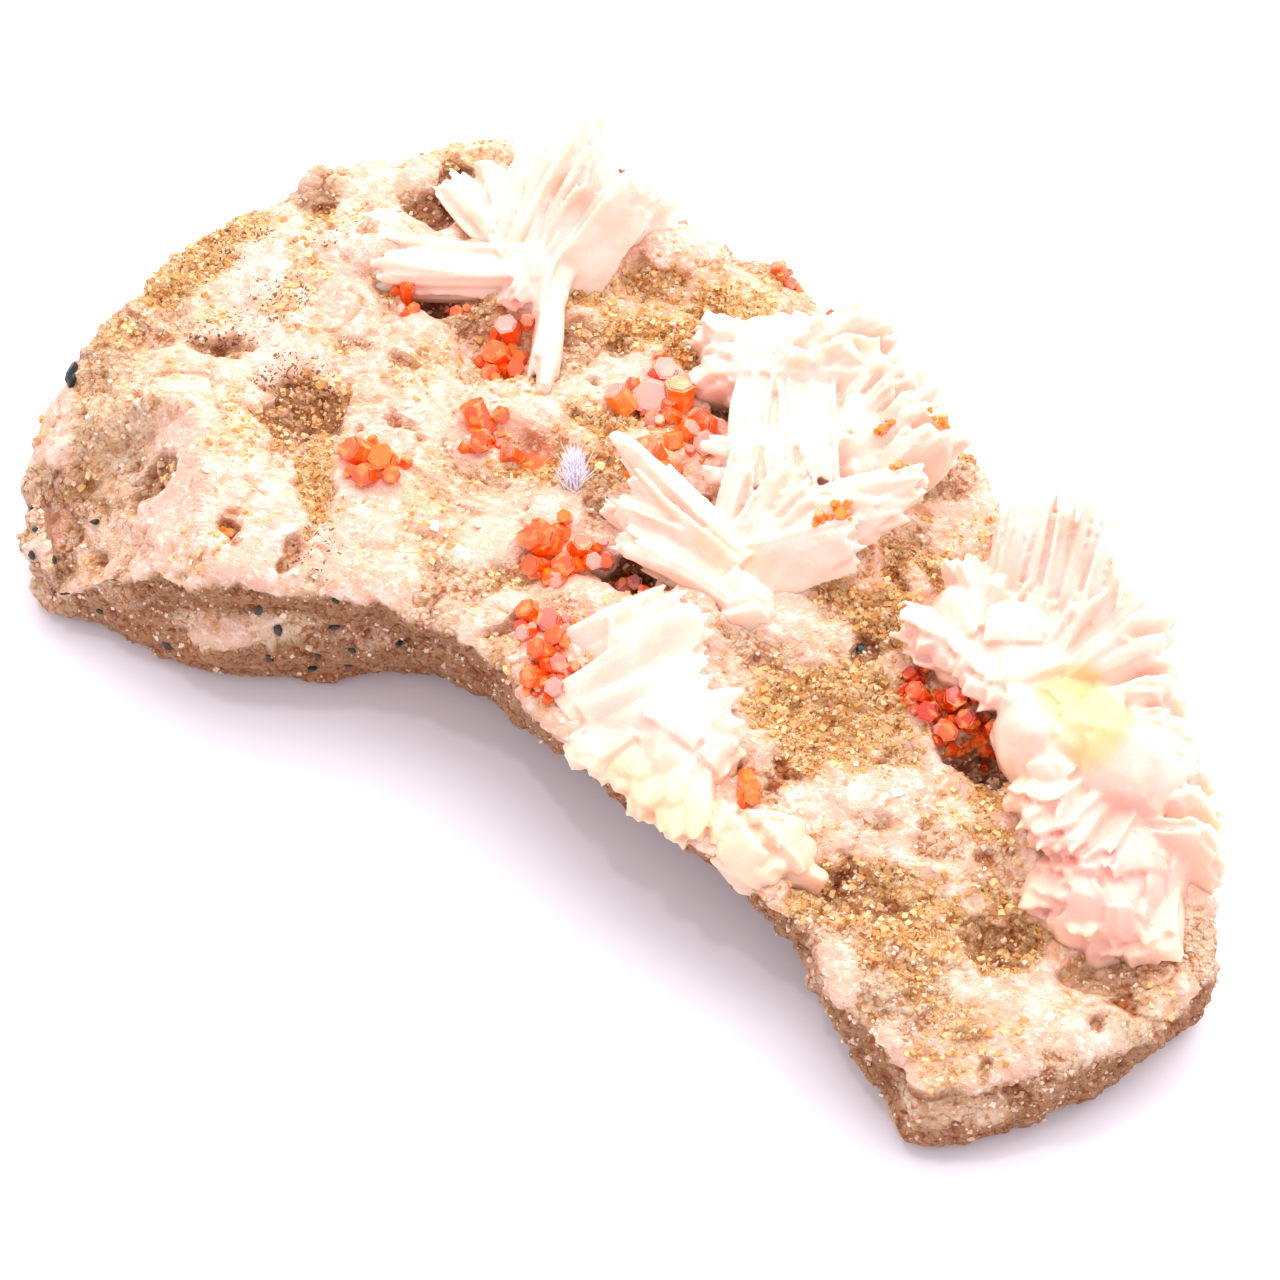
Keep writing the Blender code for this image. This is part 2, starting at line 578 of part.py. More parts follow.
def main():
    clear_scene()
    materials = {name: make_material(name) for name in COLOURS}
    rock = make_matrix()
    tree = BVHTree.FromObject(rock, bpy.context.evaluated_depsgraph_get())
    crystals = [(make_barite(name, parts), "barite") for name, parts in BARITE.items()]
    crystals += [(make_vanadinite(tree, *row), "vanadinite") for row in VANADINITE]
    crystals.append((make_tuft(tree, *TUFT), "tuft"))
    cutter = swollen(rock, CLEARANCE)
    finished = []
    for crystal, kind in crystals:
        carve(crystal, cutter)
        for neighbour in finished:
            if boxes_meet(crystal, neighbour, CLEARANCE):
                grown = swollen(neighbour, CLEARANCE)
                carve(crystal, grown)
                bpy.data.objects.remove(grown, do_unlink=True)
        keep_largest(crystal)
        thin_out(crystal, KEPT_SHARE[kind])
        crystal.data.materials.clear()
        crystal.data.materials.append(materials[kind])
        finished.append(crystal)
    bpy.data.objects.remove(cutter, do_unlink=True)
    rock.data.materials.clear()
    rock.data.materials.append(materials["matrix"])
    centre_on_box([rock] + finished)


main()
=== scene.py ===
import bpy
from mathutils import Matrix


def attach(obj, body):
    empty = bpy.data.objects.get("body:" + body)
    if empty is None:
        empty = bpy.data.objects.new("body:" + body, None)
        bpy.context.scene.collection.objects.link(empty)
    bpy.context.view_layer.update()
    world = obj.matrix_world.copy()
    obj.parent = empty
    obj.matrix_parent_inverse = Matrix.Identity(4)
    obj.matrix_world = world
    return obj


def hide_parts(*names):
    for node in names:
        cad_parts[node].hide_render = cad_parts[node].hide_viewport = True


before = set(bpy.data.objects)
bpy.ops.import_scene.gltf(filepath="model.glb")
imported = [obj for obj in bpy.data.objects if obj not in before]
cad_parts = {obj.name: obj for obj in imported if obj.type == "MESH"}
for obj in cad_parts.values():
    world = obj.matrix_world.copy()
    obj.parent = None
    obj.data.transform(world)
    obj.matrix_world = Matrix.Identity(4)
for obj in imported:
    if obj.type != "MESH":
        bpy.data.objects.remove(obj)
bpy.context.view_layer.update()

import math
import random

import bpy
import numpy as np
from mathutils import Quaternion, Vector, noise
from mathutils.bvhtree import BVHTree

MM = 0.001
UP = Vector((0.0, 0.0, 1.0))

# The tables hold millimetres from the slab's own reference point, which this brings into the frame
SHIFT = np.array((0.835, -6.820, 0.0))

# ---------------------------------------------------------------- the specimen's places

# Surface patches: kind, x, y, half length, half width, heading in degrees, strength.
# crust is the pale barite skin, ochre the crumbling limonite, brown the iron-stained hollows,
# pepper the dark-flecked patches and bare the grainy rock that the skin leaves open.
PATCHES = (
    ("crust", -28.5, -8.6, 10.5, 5.8, -28, 1.0),
    ("crust", -36.0, -1.0, 5.5, 3.6, 60, 0.7),
    ("crust", -34.0, 7.0, 7.0, 4.5, 50, 0.75),
    ("crust", -20.0, -4.0, 9.0, 5.5, 30, 1.0),
    ("crust", -12.0, 0.0, 5.0, 4.0, 30, 0.7),
    ("crust", -30.5, 15.2, 5.6, 4.0, 35, 1.0),
    ("crust", -35.5, 22.0, 5.0, 2.6, 50, 0.5),
    ("crust", -15.0, 26.2, 2.8, 2.4, 30, 1.0),
    ("crust", -16.0, 9.0, 3.6, 2.6, 35, 1.0),
    ("crust", -23.0, 6.5, 4.5, 2.4, 30, 0.8),
    ("crust", -11.0, 15.5, 4.0, 3.0, 20, 0.7),
    ("crust", -22.0, 24.0, 8.0, 6.0, 30, 1.0),
    ("crust", -1.0, -6.5, 5.0, 3.4, -20, 0.9),
    ("crust", 7.0, -6.5, 8.0, 6.5, -10, 1.0),
    ("crust", 15.5, -10.0, 5.0, 3.6, 0, 0.8),
    ("crust", 1.0, 15.0, 9.0, 8.5, 40, 1.0),
    ("crust", 4.0, 5.0, 6.0, 4.0, 20, 1.0),
    ("crust", 20.0, -2.6, 4.0, 2.8, 30, 1.0),
    ("crust", 25.0, 12.0, 10.0, 5.0, -20, 1.0),
    ("crust", 35.0, 3.0, 6.5, 7.5, -30, 1.0),
    ("crust", 37.0, -9.0, 5.5, 3.4, 50, 0.6),
    ("crust", -38.0, 11.0, 6.0, 3.6, 60, 0.85),
    ("crust", -21.6, 12.4, 2.6, 2.0, 30, 0.9),
    ("bare", -38.6, -6.6, 11.0, 3.6, 126, 0.65),
    ("bare", -43.2, 4.5, 8.0, 2.8, 82, 0.9),
    ("bare", 15.0, 1.0, 6.5, 4.4, 25, 0.8),
    ("bare", -23.7, -4.0, 5.5, 1.6, 124, 0.9),
    ("bare", -15.8, 0.4, 4.5, 3.0, 30, 0.5),
    ("ochre", -23.7, -4.0, 5.5, 1.7, 124, 0.9),
    ("ochre", -16.5, -1.5, 4.0, 1.6, 100, 0.5),
    ("ochre", -20.0, 13.4, 5.0, 3.8, 30, 0.6),
    ("ochre", -12.0, 22.0, 8.5, 5.4, 20, 1.0),
    ("ochre", -9.0, 11.0, 6.0, 4.4, 30, 0.8),
    ("ochre", -13.0, 6.4, 3.6, 2.6, 30, 1.0),
    ("ochre", 14.6, 0.5, 7.0, 5.0, 25, 1.0),
    ("ochre", 13.0, 11.0, 7.0, 4.4, 30, 1.0),
    ("ochre", 17.0, 17.0, 5.0, 3.4, -30, 0.7),
    ("ochre", 22.3, -9.4, 7.5, 3.2, 8, 1.0),
    ("ochre", 30.5, -7.0, 5.0, 3.0, 40, 1.0),
    ("ochre", 26.0, 1.5, 5.0, 4.0, 30, 0.9),
    ("ochre", -41.0, -4.5, 7.5, 2.6, 122, 0.35),
    ("ochre", -42.5, 8.0, 7.0, 2.6, 75, 0.9),
    ("ochre", -28.3, 0.2, 4.4, 2.6, 70, 0.9),
    ("ochre", -33.0, 26.0, 7.0, 1.8, 45, 0.7),
    ("ochre", 34.0, -14.0, 4.0, 3.0, 40, 0.5),
    ("brown", -28.1, 0.8, 3.4, 2.5, 20, 0.8),
    ("brown", -31.7, 23.6, 1.8, 2.4, 40, 1.0),
    ("brown", -31.2, 20.2, 2.4, 1.8, 30, 0.9),
    ("brown", -26.7, 13.7, 2.9, 1.8, 30, 1.0),
    ("brown", -33.2, -8.9, 2.2, 1.5, 60, 0.9),
    ("brown", -36.4, 2.0, 2.4, 1.6, 50, 0.7),
    ("brown", -39.4, 17.9, 2.8, 2.4, 30, 0.25),
    ("brown", -22.9, 31.4, 3.0, 2.2, 20, 0.7),
    ("brown", -25.5, -10.8, 1.2, 1.0, 0, 0.9),
    ("brown", -4.7, 17.4, 1.6, 1.4, 30, 1.0),
    ("brown", -2.4, 2.3, 2.7, 2.0, 30, 1.0),
    ("brown", 5.2, 3.4, 1.9, 1.0, -10, 1.0),
    ("brown", 13.5, 6.2, 1.3, 1.3, 0, 1.0),
    ("brown", 24.2, 4.2, 3.8, 2.8, 30, 0.9),
    ("brown", 22.0, -9.6, 5.0, 1.8, 8, 0.6),
    ("brown", 31.0, -7.0, 3.4, 2.0, 40, 0.6),
    ("brown", 38.2, -5.1, 3.2, 1.8, 38, 0.6),
    ("brown", -16.6, 16.6, 1.8, 1.4, 40, 0.6),
    ("brown", -13.4, 17.0, 1.2, 1.1, 0, 0.6),
    ("pepper", -39.2, 17.9, 3.0, 2.6, 30, 0.5),
    ("pepper", -40.4, 10.2, 3.4, 2.0, 60, 0.9),
    ("pepper", -35.1, 7.9, 3.6, 2.4, 40, 0.9),
    ("pepper", -36.8, 3.6, 3.4, 2.4, 60, 0.8),
    ("pepper", -35.4, 13.6, 2.6, 2.0, 30, 0.8),
    ("pepper", -30.0, 2.4, 3.0, 2.2, 20, 1.0),
    ("pepper", -20.0, -8.0, 2.4, 3.0, 30, 0.7),
    ("pepper", 24.0, -9.0, 7.0, 2.4, 8, 0.5),
)

# Barite crests, from those of the solid model: lumps are centre, radii and unevenness. Rows are the
# first and last blade as (root, tip), the last None where there is one blade, then their number, width,
# thickness, roll and width at the tip. A cover is how many short sheets lie on each lump, how upright
# they stand, their heading, length and width.
BARITE = {
    "barite_back_fan": {
        "cover": (14, 0.8, 60, 1.8, 2.8),
        "lumps": (
            ((-22.6, 19.6, 11.0), (3.8, 4.2, 3.0), 0.16),
            ((-26.5, 24.5, 11.2), (4.2, 3.0, 2.4), 0.16),
        ),
        "rows": (
            (((-20.4, 20.2, 12.6), (-31.2, 13.0, 13.4)), None, 1, 4.0, 2.4, 80, 0.8),
            (((-21.4, 19.0, 12.4), (-29.4, 13.2, 13.2)), None, 1, 2.6, 1.6, 40, 0.7),
            (((-22.4, 20.4, 13.4), (-21.2, 14.8, 12.6)), ((-20.4, 20.6, 13.4), (-18.6, 15.4, 12.4)),
             2, 3.6, 1.6, 60, 0.8),
            (((-20.8, 19.2, 12.8), (-14.4, 9.4, 12.2)), None, 1, 3.6, 1.5, 88, 0.6),
            (((-24.2, 19.5, 11.4), (-27.0, 28.6, 16.0)), ((-19.8, 18.4, 11.4), (-17.6, 26.4, 18.8)),
             5, 4.6, 1.2, 46, 0.85),
            (((-23.2, 18.8, 11.5), (-22.8, 27.2, 20.4)), ((-21.6, 20.0, 12.0), (-20.9, 25.6, 20.6)),
             2, 3.6, 1.1, 70, 0.5),
            (((-24.5, 20.8, 11.4), (-31.6, 22.2, 13.6)), ((-24.0, 23.0, 11.4), (-24.8, 30.6, 16.4)),
             4, 4.8, 1.4, 42, 0.8),
            (((-20.0, 22.6, 11.8), (-16.4, 28.4, 15.4)), None, 1, 4.0, 1.2, 30, 0.9),
        ),
    },
    "barite_middle_crest": {
        "cover": (6, 0.35, 100, 2.6, 3.4),
        "lumps": (
            ((-3.4, 21.6, 11.2), (5.4, 5.0, 4.2), 0.16),
            ((5.6, 18.6, 11.0), (5.2, 4.8, 4.4), 0.16),
            ((2.4, 12.4, 10.6), (4.2, 4.8, 3.2), 0.16),
            ((4.0, 4.6, 10.2), (4.0, 3.2, 2.4), 0.16),
        ),
        "rows": (
            (((-4.0, 21.0, 10.6), (-8.6, 20.6, 14.4)), ((-2.6, 21.6, 10.6), (2.0, 27.4, 15.6)),
             7, 6.0, 1.7, 84, 0.9),
            (((-4.0, 20.0, 10.8), (-6.8, 17.0, 14.2)), ((0.4, 20.6, 10.8), (2.6, 23.2, 17.2)),
             5, 5.4, 1.6, 70, 0.9),
            (((-3.4, 18.2, 12.4), (1.8, 9.4, 13.8)), ((0.9, 21.0, 12.6), (6.4, 12.6, 13.8)),
             6, 5.2, 1.1, 90, 0.75),
            (((1.6, 15.4, 12.2), (-3.1, 11.4, 14.8)), ((1.8, 13.8, 12.0), (-1.6, 9.6, 14.2)),
             2, 3.0, 1.1, 34, 0.6),
            (((3.8, 6.2, 11.6), (-7.9, 8.2, 15.4)), ((3.8, 5.2, 11.4), (-6.4, 5.0, 13.6)),
             2, 4.8, 1.4, 110, 0.6),
            (((4.4, 4.6, 11.2), (-4.4, 3.2, 12.8)), None, 1, 4.0, 1.4, 24, 0.8),
            (((2.4, 7.4, 11.6), (12.4, 17.0, 16.6)), ((4.2, 5.4, 11.4), (9.8, 10.8, 13.8)),
             4, 4.6, 1.2, 58, 0.65),
            (((2.2, 7.0, 11.6), (0.4, 12.8, 15.8)), ((4.2, 7.4, 11.6), (6.0, 12.6, 16.0)),
             3, 3.8, 1.1, 70, 0.7),
            (((3.2, 19.4, 11.0), (4.8, 25.2, 16.6)), ((7.4, 17.0, 11.0), (11.2, 21.4, 16.4)),
             5, 4.8, 1.1, 86, 1.0),
        ),
    },
    "barite_front_fan": {
        "cover": (6, 0.1, 85, 3.0, 3.4),
        "lumps": (
            ((6.8, -7.4, 10.2), (5.6, 4.0, 2.8), 0.16),
            ((16.2, -10.4, 8.8), (4.2, 2.8, 2.4), 0.34),
            ((1.8, -2.8, 10.6), (4.0, 3.0, 1.9), 0.16),
        ),
        "rows": (
            (((0.6, -9.6, 11.0), (5.0, -0.6, 13.8)), ((7.2, -9.6, 10.8), (11.0, -4.4, 11.8)),
             4, 4.6, 1.4, 22, 0.8),
            (((-1.6, -5.6, 11.0), (2.0, 0.4, 13.2)), ((0.8, -5.6, 11.0), (5.6, 1.0, 14.0)),
             2, 3.6, 1.2, 14, 0.9),
            (((4.4, -8.4, 11.2), (3.4, -12.4, 10.8)), ((9.4, -8.8, 10.6), (12.6, -13.0, 10.0)),
             4, 4.0, 1.6, 8, 0.9),
        ),
    },
    "barite_end_crest": {
        "cover": (8, 0.2, 124, 3.0, 3.0),
        "lumps": (
            ((22.0, 11.0, 10.2), (7.0, 5.4, 4.9), 0.16),
            ((30.6, 7.8, 9.6), (7.4, 6.2, 5.0), 0.16),
            ((36.2, 0.4, 8.0), (4.8, 5.8, 3.9), 0.16),
        ),
        "rows": (
            (((20.4, 11.4, 10.6), (15.2, 6.4, 13.4)), ((27.0, 10.0, 10.6), (25.2, 5.4, 12.8)),
             6, 4.8, 2.0, 14, 0.85),
            (((20.2, 11.8, 10.4), (17.4, 17.8, 17.6)), ((23.0, 13.4, 10.4), (20.8, 19.4, 18.8)),
             4, 5.0, 1.0, 90, 0.95),
            (((24.6, 12.6, 10.4), (22.4, 19.6, 19.0)), ((27.0, 11.8, 10.4), (25.6, 18.0, 17.2)),
             3, 4.8, 1.0, 90, 0.9),
            (((19.6, 12.0, 10.4), (15.6, 13.4, 14.4)), ((26.6, 10.6, 10.8), (29.4, 16.6, 15.8)),
             5, 5.2, 1.8, 74, 0.9),
            (((27.6, 10.4, 10.8), (31.8, 14.2, 14.8)), ((36.6, 3.8, 8.4), (41.4, 5.4, 10.6)),
             6, 5.6, 1.4, 72, 0.9),
            (((29.6, 5.8, 9.6), (29.2, -0.6, 11.6)), ((33.6, 5.0, 9.4), (34.6, -1.8, 11.2)),
             3, 5.0, 2.0, 30, 0.9),
            (((33.0, 0.6, 8.4), (33.8, -4.6, 9.4)), ((38.2, 0.8, 8.0), (40.6, -3.6, 8.6)),
             4, 5.0, 2.2, 18, 0.9),
        ),
    },
}

# Where the barite is stained: kind, x, y, half length, half width, heading in degrees, strength
STAINS = (
    ("yellow", 29.0, 7.6, 4.6, 3.2, -30, 1.0),
    ("yellow", 9.0, -11.0, 6.0, 2.4, -15, 0.45),
    ("yellow", 3.0, 6.0, 3.0, 2.0, 0, 0.35),
    ("pink", 35.5, 0.4, 6.5, 6.0, 0, 0.8),
    ("pink", -20.5, 13.0, 2.4, 5.0, 20, 0.8),
    ("pink", -1.0, -6.0, 4.5, 3.0, 0, 0.5),
    ("pink", 5.0, -8.4, 6.0, 2.2, -20, 0.55),
    ("pink", 17.0, 6.0, 3.0, 3.0, 0, 0.5),
)

# Vanadinite, node by node as in the solid model. Each crystal: x, y, radius, height, lean along x and y.
# The last numbers are half the number of small crystals that grow beside them, how red the cluster is,
# and what share of the crystals carry a pale pink painted highlight on their upper end.
VANADINITE = {
    "vanadinite_vug_left": (
        ((-28.3, 12.7, 0.65, 2.5, 0.1, 0.1), (-27.5, 12.3, 0.55, 1.8, 0.5, -0.3),
         (-27.1, 11.4, 0.45, 1.0, -0.3, -0.6)),
        2, 0.6, 0.2),
    "vanadinite_vug_right": (((-25.0, 14.3, 0.65, 1.2, 0.3, -0.5),), 1, 0.8, 0.2),
    "vanadinite_recess": (
        ((-20.9, 15.0, 1.05, 1.8, -0.1, -0.3), (-20.5, 13.6, 1.15, 2.4, -0.2, -0.5),
         (-19.4, 13.0, 0.85, 2.2, 0.5, -0.4), (-20.3, 12.2, 0.85, 1.5, 0.1, -0.9)),
        7, 0.6, 0.2),
    "vanadinite_broad_end": (
        ((-21.6, -0.6, 1.15, 2.2, -0.6, -0.7), (-20.5, -0.2, 1.2, 1.9, 0.2, -0.5),
         (-20.6, -1.7, 1.0, 1.8, 0.1, -1.1), (-19.6, -1.1, 0.8, 1.5, 0.7, -0.4)),
        6, 0.6, 0.2),
    "vanadinite_recess_lip": (
        ((-17.0, 6.1, 1.2, 2.3, -0.7, 0.2), (-16.2, 5.1, 0.95, 1.6, 0.3, -0.8)),
        4, 0.7, 0.4),
    "vanadinite_barrel": (
        ((-12.9, 6.1, 1.3, 1.7, 0.7, -0.3), (-13.9, 5.6, 0.8, 1.3, -0.4, -0.6)),
        3, 0.6, 0.5),
    "vanadinite_plates": (
        ((-8.9, 14.9, 1.75, 1.1, 0.05, -0.55), (-7.3, 15.5, 1.35, 2.0, -0.1, 0.25),
         (-9.7, 16.8, 1.15, 1.6, 0.5, -0.1), (-8.0, 13.4, 0.8, 1.0, 0.6, -0.8)),
        6, 0.7, 0.8),
    "vanadinite_tabular": (
        ((-4.7, 14.7, 1.5, 0.8, -0.45, -0.9), (-4.0, 13.7, 1.15, 1.0, 0.5, -0.6)),
        3, 0.6, 0.9),
    "vanadinite_behind_blade": (
        ((-5.9, 10.2, 1.35, 1.6, -0.3, -0.2), (-4.8, 9.5, 1.2, 1.7, 0.4, -0.5)),
        3, 0.4, 0.0),
    "vanadinite_middle": (
        ((-8.0, 0.9, 1.55, 2.0, -0.2, -0.4), (-7.4, -0.7, 1.0, 1.6, -0.4, -0.9),
         (-6.4, 0.3, 1.05, 1.7, 0.5, -0.7), (-6.0, 1.6, 0.9, 1.5, 0.2, 0.1),
         (-5.2, 1.5, 0.8, 1.4, 0.8, -0.3), (-5.8, -0.8, 0.75, 1.3, 0.1, -1.1),
         (-4.3, 2.3, 0.7, 1.2, 0.3, -0.4)),
        16, 0.6, 0.2),
    "vanadinite_dark_hole": (
        ((-3.0, 2.6, 0.85, 1.8, 0.2, -0.3), (-1.9, 2.2, 0.8, 1.6, -0.4, -0.2),
         (-2.3, 3.2, 0.7, 1.4, 0.1, -0.6)),
        4, 2.0, 0.0),
    "vanadinite_front_upper": (
        ((-5.1, -4.7, 0.95, 1.7, -0.5, -0.3), (-4.0, -4.4, 1.0, 1.6, 0.1, -0.5),
         (-3.2, -5.3, 0.85, 1.5, 0.5, -0.7), (-4.6, -6.0, 0.7, 1.2, -0.2, -1.0)),
        10, 0.7, 0.6),
    "vanadinite_front_lower": (
        ((-2.7, -7.0, 0.95, 1.6, -0.3, -0.5), (-1.7, -7.4, 0.85, 1.6, 0.5, -0.2),
         (-2.1, -8.7, 0.9, 1.5, -0.3, -0.9), (-0.8, -8.7, 0.85, 1.6, 0.4, -0.6)),
        12, 0.7, 0.5),
    "vanadinite_crust_hole": (((-25.3, -10.9, 0.42, 0.9, 0.2, -0.4),), 1, 0.2, 0.2),
    "vanadinite_crumb_field": (
        ((12.7, -6.6, 0.85, 2.2, 0.9, -0.9), (13.5, -7.4, 0.7, 1.6, 0.5, -0.6)),
        2, 0.5, 0.2),
    # The nest's tone goes past 1, so most of its crystals take the darkest red: partly their own deeper
    # colour, partly painted shade for the recess under the end crest.
    "vanadinite_nest": (
        ((18.6, 5.2, 0.85, 1.6, -0.3, -0.4), (19.7, 4.6, 0.95, 1.7, 0.1, -0.7),
         (20.6, 5.6, 0.95, 1.9, 0.3, -0.2), (21.4, 4.3, 0.85, 1.6, 0.2, -0.8),
         (22.4, 5.3, 0.9, 1.8, -0.2, -0.5), (23.4, 5.9, 0.85, 1.7, 0.5, -0.4),
         (24.6, 6.0, 0.8, 1.6, 0.2, -0.5), (17.6, 6.3, 0.7, 1.3, -0.6, -0.2)),
        22, 1.5, 0.0),
    "vanadinite_back_rim": (
        ((-7.9, 29.3, 0.8, 1.1, -0.4, 0.1), (-7.0, 28.9, 0.6, 1.0, 0.5, -0.2)),
        3, 0.8, 0.2),
    "vanadinite_back_rim_right": (
        ((-2.9, 29.5, 0.7, 1.0, 0.2, 0.2), (-2.0, 28.9, 0.6, 0.9, -0.3, -0.4)),
        4, 0.4, 0.2),
    "vanadinite_crest_foot": (
        ((9.2, 16.4, 0.45, 0.8, 0.3, -0.4), (9.9, 16.0, 0.4, 0.7, -0.2, -0.3),
         (9.6, 21.6, 0.5, 0.9, 0.2, -0.4), (10.2, 21.0, 0.4, 0.8, -0.3, 0.2),
         (6.8, 19.0, 0.4, 1.1, 0.1, -0.6)),
        16, 0.0, 0.0),
    "vanadinite_ochre": (
        ((8.2, 11.4, 0.55, 1.0, 0.2, -0.4), (7.3, 10.6, 0.45, 0.9, -0.3, -0.2)),
        7, 0.1, 0.0),
    "vanadinite_end_back": (
        ((17.4, 18.9, 0.75, 1.6, -0.2, 0.3), (16.8, 18.3, 0.55, 1.1, -0.5, -0.2)),
        2, 0.6, 0.2),
}

# These clusters sit on the middle crest and not on the rock
ON_BARITE = ("vanadinite_crest_foot", "vanadinite_ochre")

TUFT = (-9.6, 6.4, 2.5)      # pale needles: x, y, length
NEEDLES = 360
SCALES = 700                 # broken sheets that lie on the crust
GRAINS = 5200                # of the ochre crumbs and of the dolomite grains each

# Black grains, most of them in the broad end: x, y, z and size; all stand a little out of the rock
SPECK_PROUD = 0.12
SPECKS = (
    (-44.6, -4.6, 10.2, 0.95), (-37.2, -12.7, 9.1, 0.42), (-41.5, -12.9, 5.9, 0.3),
    (-39.9, -14.5, 6.6, 0.3), (-38.9, -15.8, 6.4, 0.38), (-36.2, -15.8, 7.7, 0.32),
    (-34.0, -15.5, 3.0, 0.34), (-28.6, -14.8, 2.6, 0.5), (-20.7, -12.1, 7.3, 0.48),
    (-22.1, -12.0, 8.6, 0.4), (-17.7, -10.3, 8.1, 0.52), (-19.3, -11.1, 3.4, 0.42),
    (-20.9, -12.8, 5.0, 0.44), (-17.4, -9.5, 3.3, 0.36), (-18.7, -11.0, 4.6, 0.34),
    (-16.4, -9.8, 5.6, 0.34), (-14.4, -8.1, 6.3, 0.36), (-17.1, -10.2, 11.2, 0.34),
    (13.2, 6.5, 9.4, 0.55),
)

# Camera: turned about the object, in degrees; the frame is as wide as FIELD at the aim point
CAMERA_AZIMUTH, CAMERA_ELEVATION = 34.0, 54.0
LENS, SENSOR, FIELD = 110.0, 36.0, 85.0
AIM = np.array((0.0, 0.0, 8.0)) + SHIFT


# ---------------------------------------------------------------- small tools

def deselect():
    bpy.ops.object.select_all(action='DESELECT')


def select_only(obj):
    deselect()
    obj.select_set(True)
    bpy.context.view_layer.objects.active = obj


def take_shape(obj):
    """The vertices and faces of a finished small shape, whose object is then removed."""
    mesh = obj.data
    verts = np.array([v.co for v in mesh.vertices])
    faces = [tuple(face.vertices) for face in mesh.polygons]
    bpy.data.objects.remove(obj, do_unlink=True)
    bpy.data.meshes.remove(mesh)
    return verts, faces


def join_copies(name, copies):
    """One object from many placed copies: vertices in mm, faces, and one tint or one for each vertex."""
    verts, faces, tints = [], [], []
    start = 0
    for points, sides, tint in copies:
        verts.append(points)
        faces += [tuple(start + corner for corner in side) for side in sides]
        tints.append(np.full(len(points), tint, dtype=np.float32))
        start += len(points)
    mesh = bpy.data.meshes.new(name)
    mesh.from_pydata((np.concatenate(verts) * MM).tolist(), [], faces)
    attribute = mesh.attributes.new("tint", 'FLOAT', 'POINT')
    attribute.data.foreach_set("value", np.concatenate(tints))
    obj = bpy.data.objects.new(name, mesh)
    bpy.context.scene.collection.objects.link(obj)
    return obj


def apply_modifier(obj, kind, **settings):
    """Add a modifier with its settings and apply it."""
    select_only(obj)
    modifier = obj.modifiers.new(kind.title(), kind)
    for key, value in settings.items():
        setattr(modifier, key, value)
    bpy.ops.object.modifier_apply(modifier=modifier.name)


def read_vertices(mesh):
    """The mesh's vertices in mm and their normals."""
    count = len(mesh.vertices)
    places = np.empty(count * 3, dtype=np.float32)
    mesh.vertices.foreach_get("co", places)
    normals = np.empty(count * 3, dtype=np.float32)
    mesh.vertices.foreach_get("normal", normals)
    return places.reshape(-1, 3).astype(float) / MM, normals.reshape(-1, 3).astype(float)


def write_vertices(mesh, places):
    mesh.vertices.foreach_set("co", (places * MM).astype(np.float32).ravel())
    mesh.update()


def write_layer(obj, name, values):
    layer = obj.data.attributes.new(name, 'FLOAT', 'POINT')
    layer.data.foreach_set("value", np.clip(values, 0.0, 1.0).astype(np.float32))


def smoothstep(low, high, value):
    share = np.clip((value - low) / (high - low), 0.0, 1.0)
    return share * share * (3.0 - 2.0 * share)


def perlin(places, size, seed):
    """Smooth noise from -1 to 1 whose lumps are size across."""
    scaled = places / size + seed * 7.31
    return np.array([noise.noise(Vector(point)) for point in scaled])


def grain_distance(places, size, seed):
    """Distance to the nearest grain centre, as a share of the grain size."""
    scaled = places / size + seed * 5.17
    return np.array([noise.voronoi(Vector(point))[0][0] for point in scaled])


def finish_piece(piece, slot, material, *nodes, smooth=None):
    """Give a piece its material and its place in the frame; nodes are the solids that it stands for."""
    piece.data.materials.clear()
    piece.data.materials.append(material)
    if smooth is not None:
        select_only(piece)
        bpy.ops.object.shade_smooth_by_angle(angle=math.radians(smooth))
    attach(piece, "root")
    if nodes:
        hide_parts(*nodes)


# ---------------------------------------------------------------- materials

def linear(hex_colour):
    """An sRGB hex colour as linear red, green, blue and alpha."""
    channels = [int(hex_colour[k:k + 2], 16) / 255 for k in (1, 3, 5)]
    return tuple(c / 12.92 if c <= 0.04045 else ((c + 0.055) / 1.055) ** 2.4 for c in channels) + (1.0,)


def add_node(tree, kind, links, output=0, **settings):
    """Add a node with its settings and return an output; links maps inputs to sockets or values."""
    node = tree.nodes.new(kind)
    for key, value in settings.items():
        setattr(node, key, value)
    for key, value in links.items():
        if isinstance(value, bpy.types.NodeSocket):
            tree.links.new(value, node.inputs[key])
        else:
            node.inputs[key].default_value = value
    return node.outputs[output]


def start_material(name, layers=()):
    """A new material, its shader, its Object coordinates and the named layers of its piece."""
    material = bpy.data.materials.new(name)
    material.use_nodes = True
    tree = material.node_tree
    place = add_node(tree, "ShaderNodeTexCoord", {}, "Object")
    values = {layer: add_node(tree, "ShaderNodeAttribute", {}, "Fac", attribute_name=layer)
              for layer in layers}
    return material, tree, tree.nodes["Principled BSDF"], place, values


def lay_colours(tree, first, colours):
    """Colours over one another, as (value, where it starts, where it is full, colour, blend)."""
    result = first if isinstance(first, bpy.types.NodeSocket) else linear(first)
    for value, start, full, colour, blend in colours:
        share = add_node(tree, "ShaderNodeMapRange", {0: value, 1: start, 2: full},
                         interpolation_type='SMOOTHSTEP')
        over = colour if isinstance(colour, bpy.types.NodeSocket) else linear(colour)
        result = add_node(tree, "ShaderNodeMix", {0: share, 6: result, 7: over}, 2,
                          data_type='RGBA', blend_type=blend)
    return result


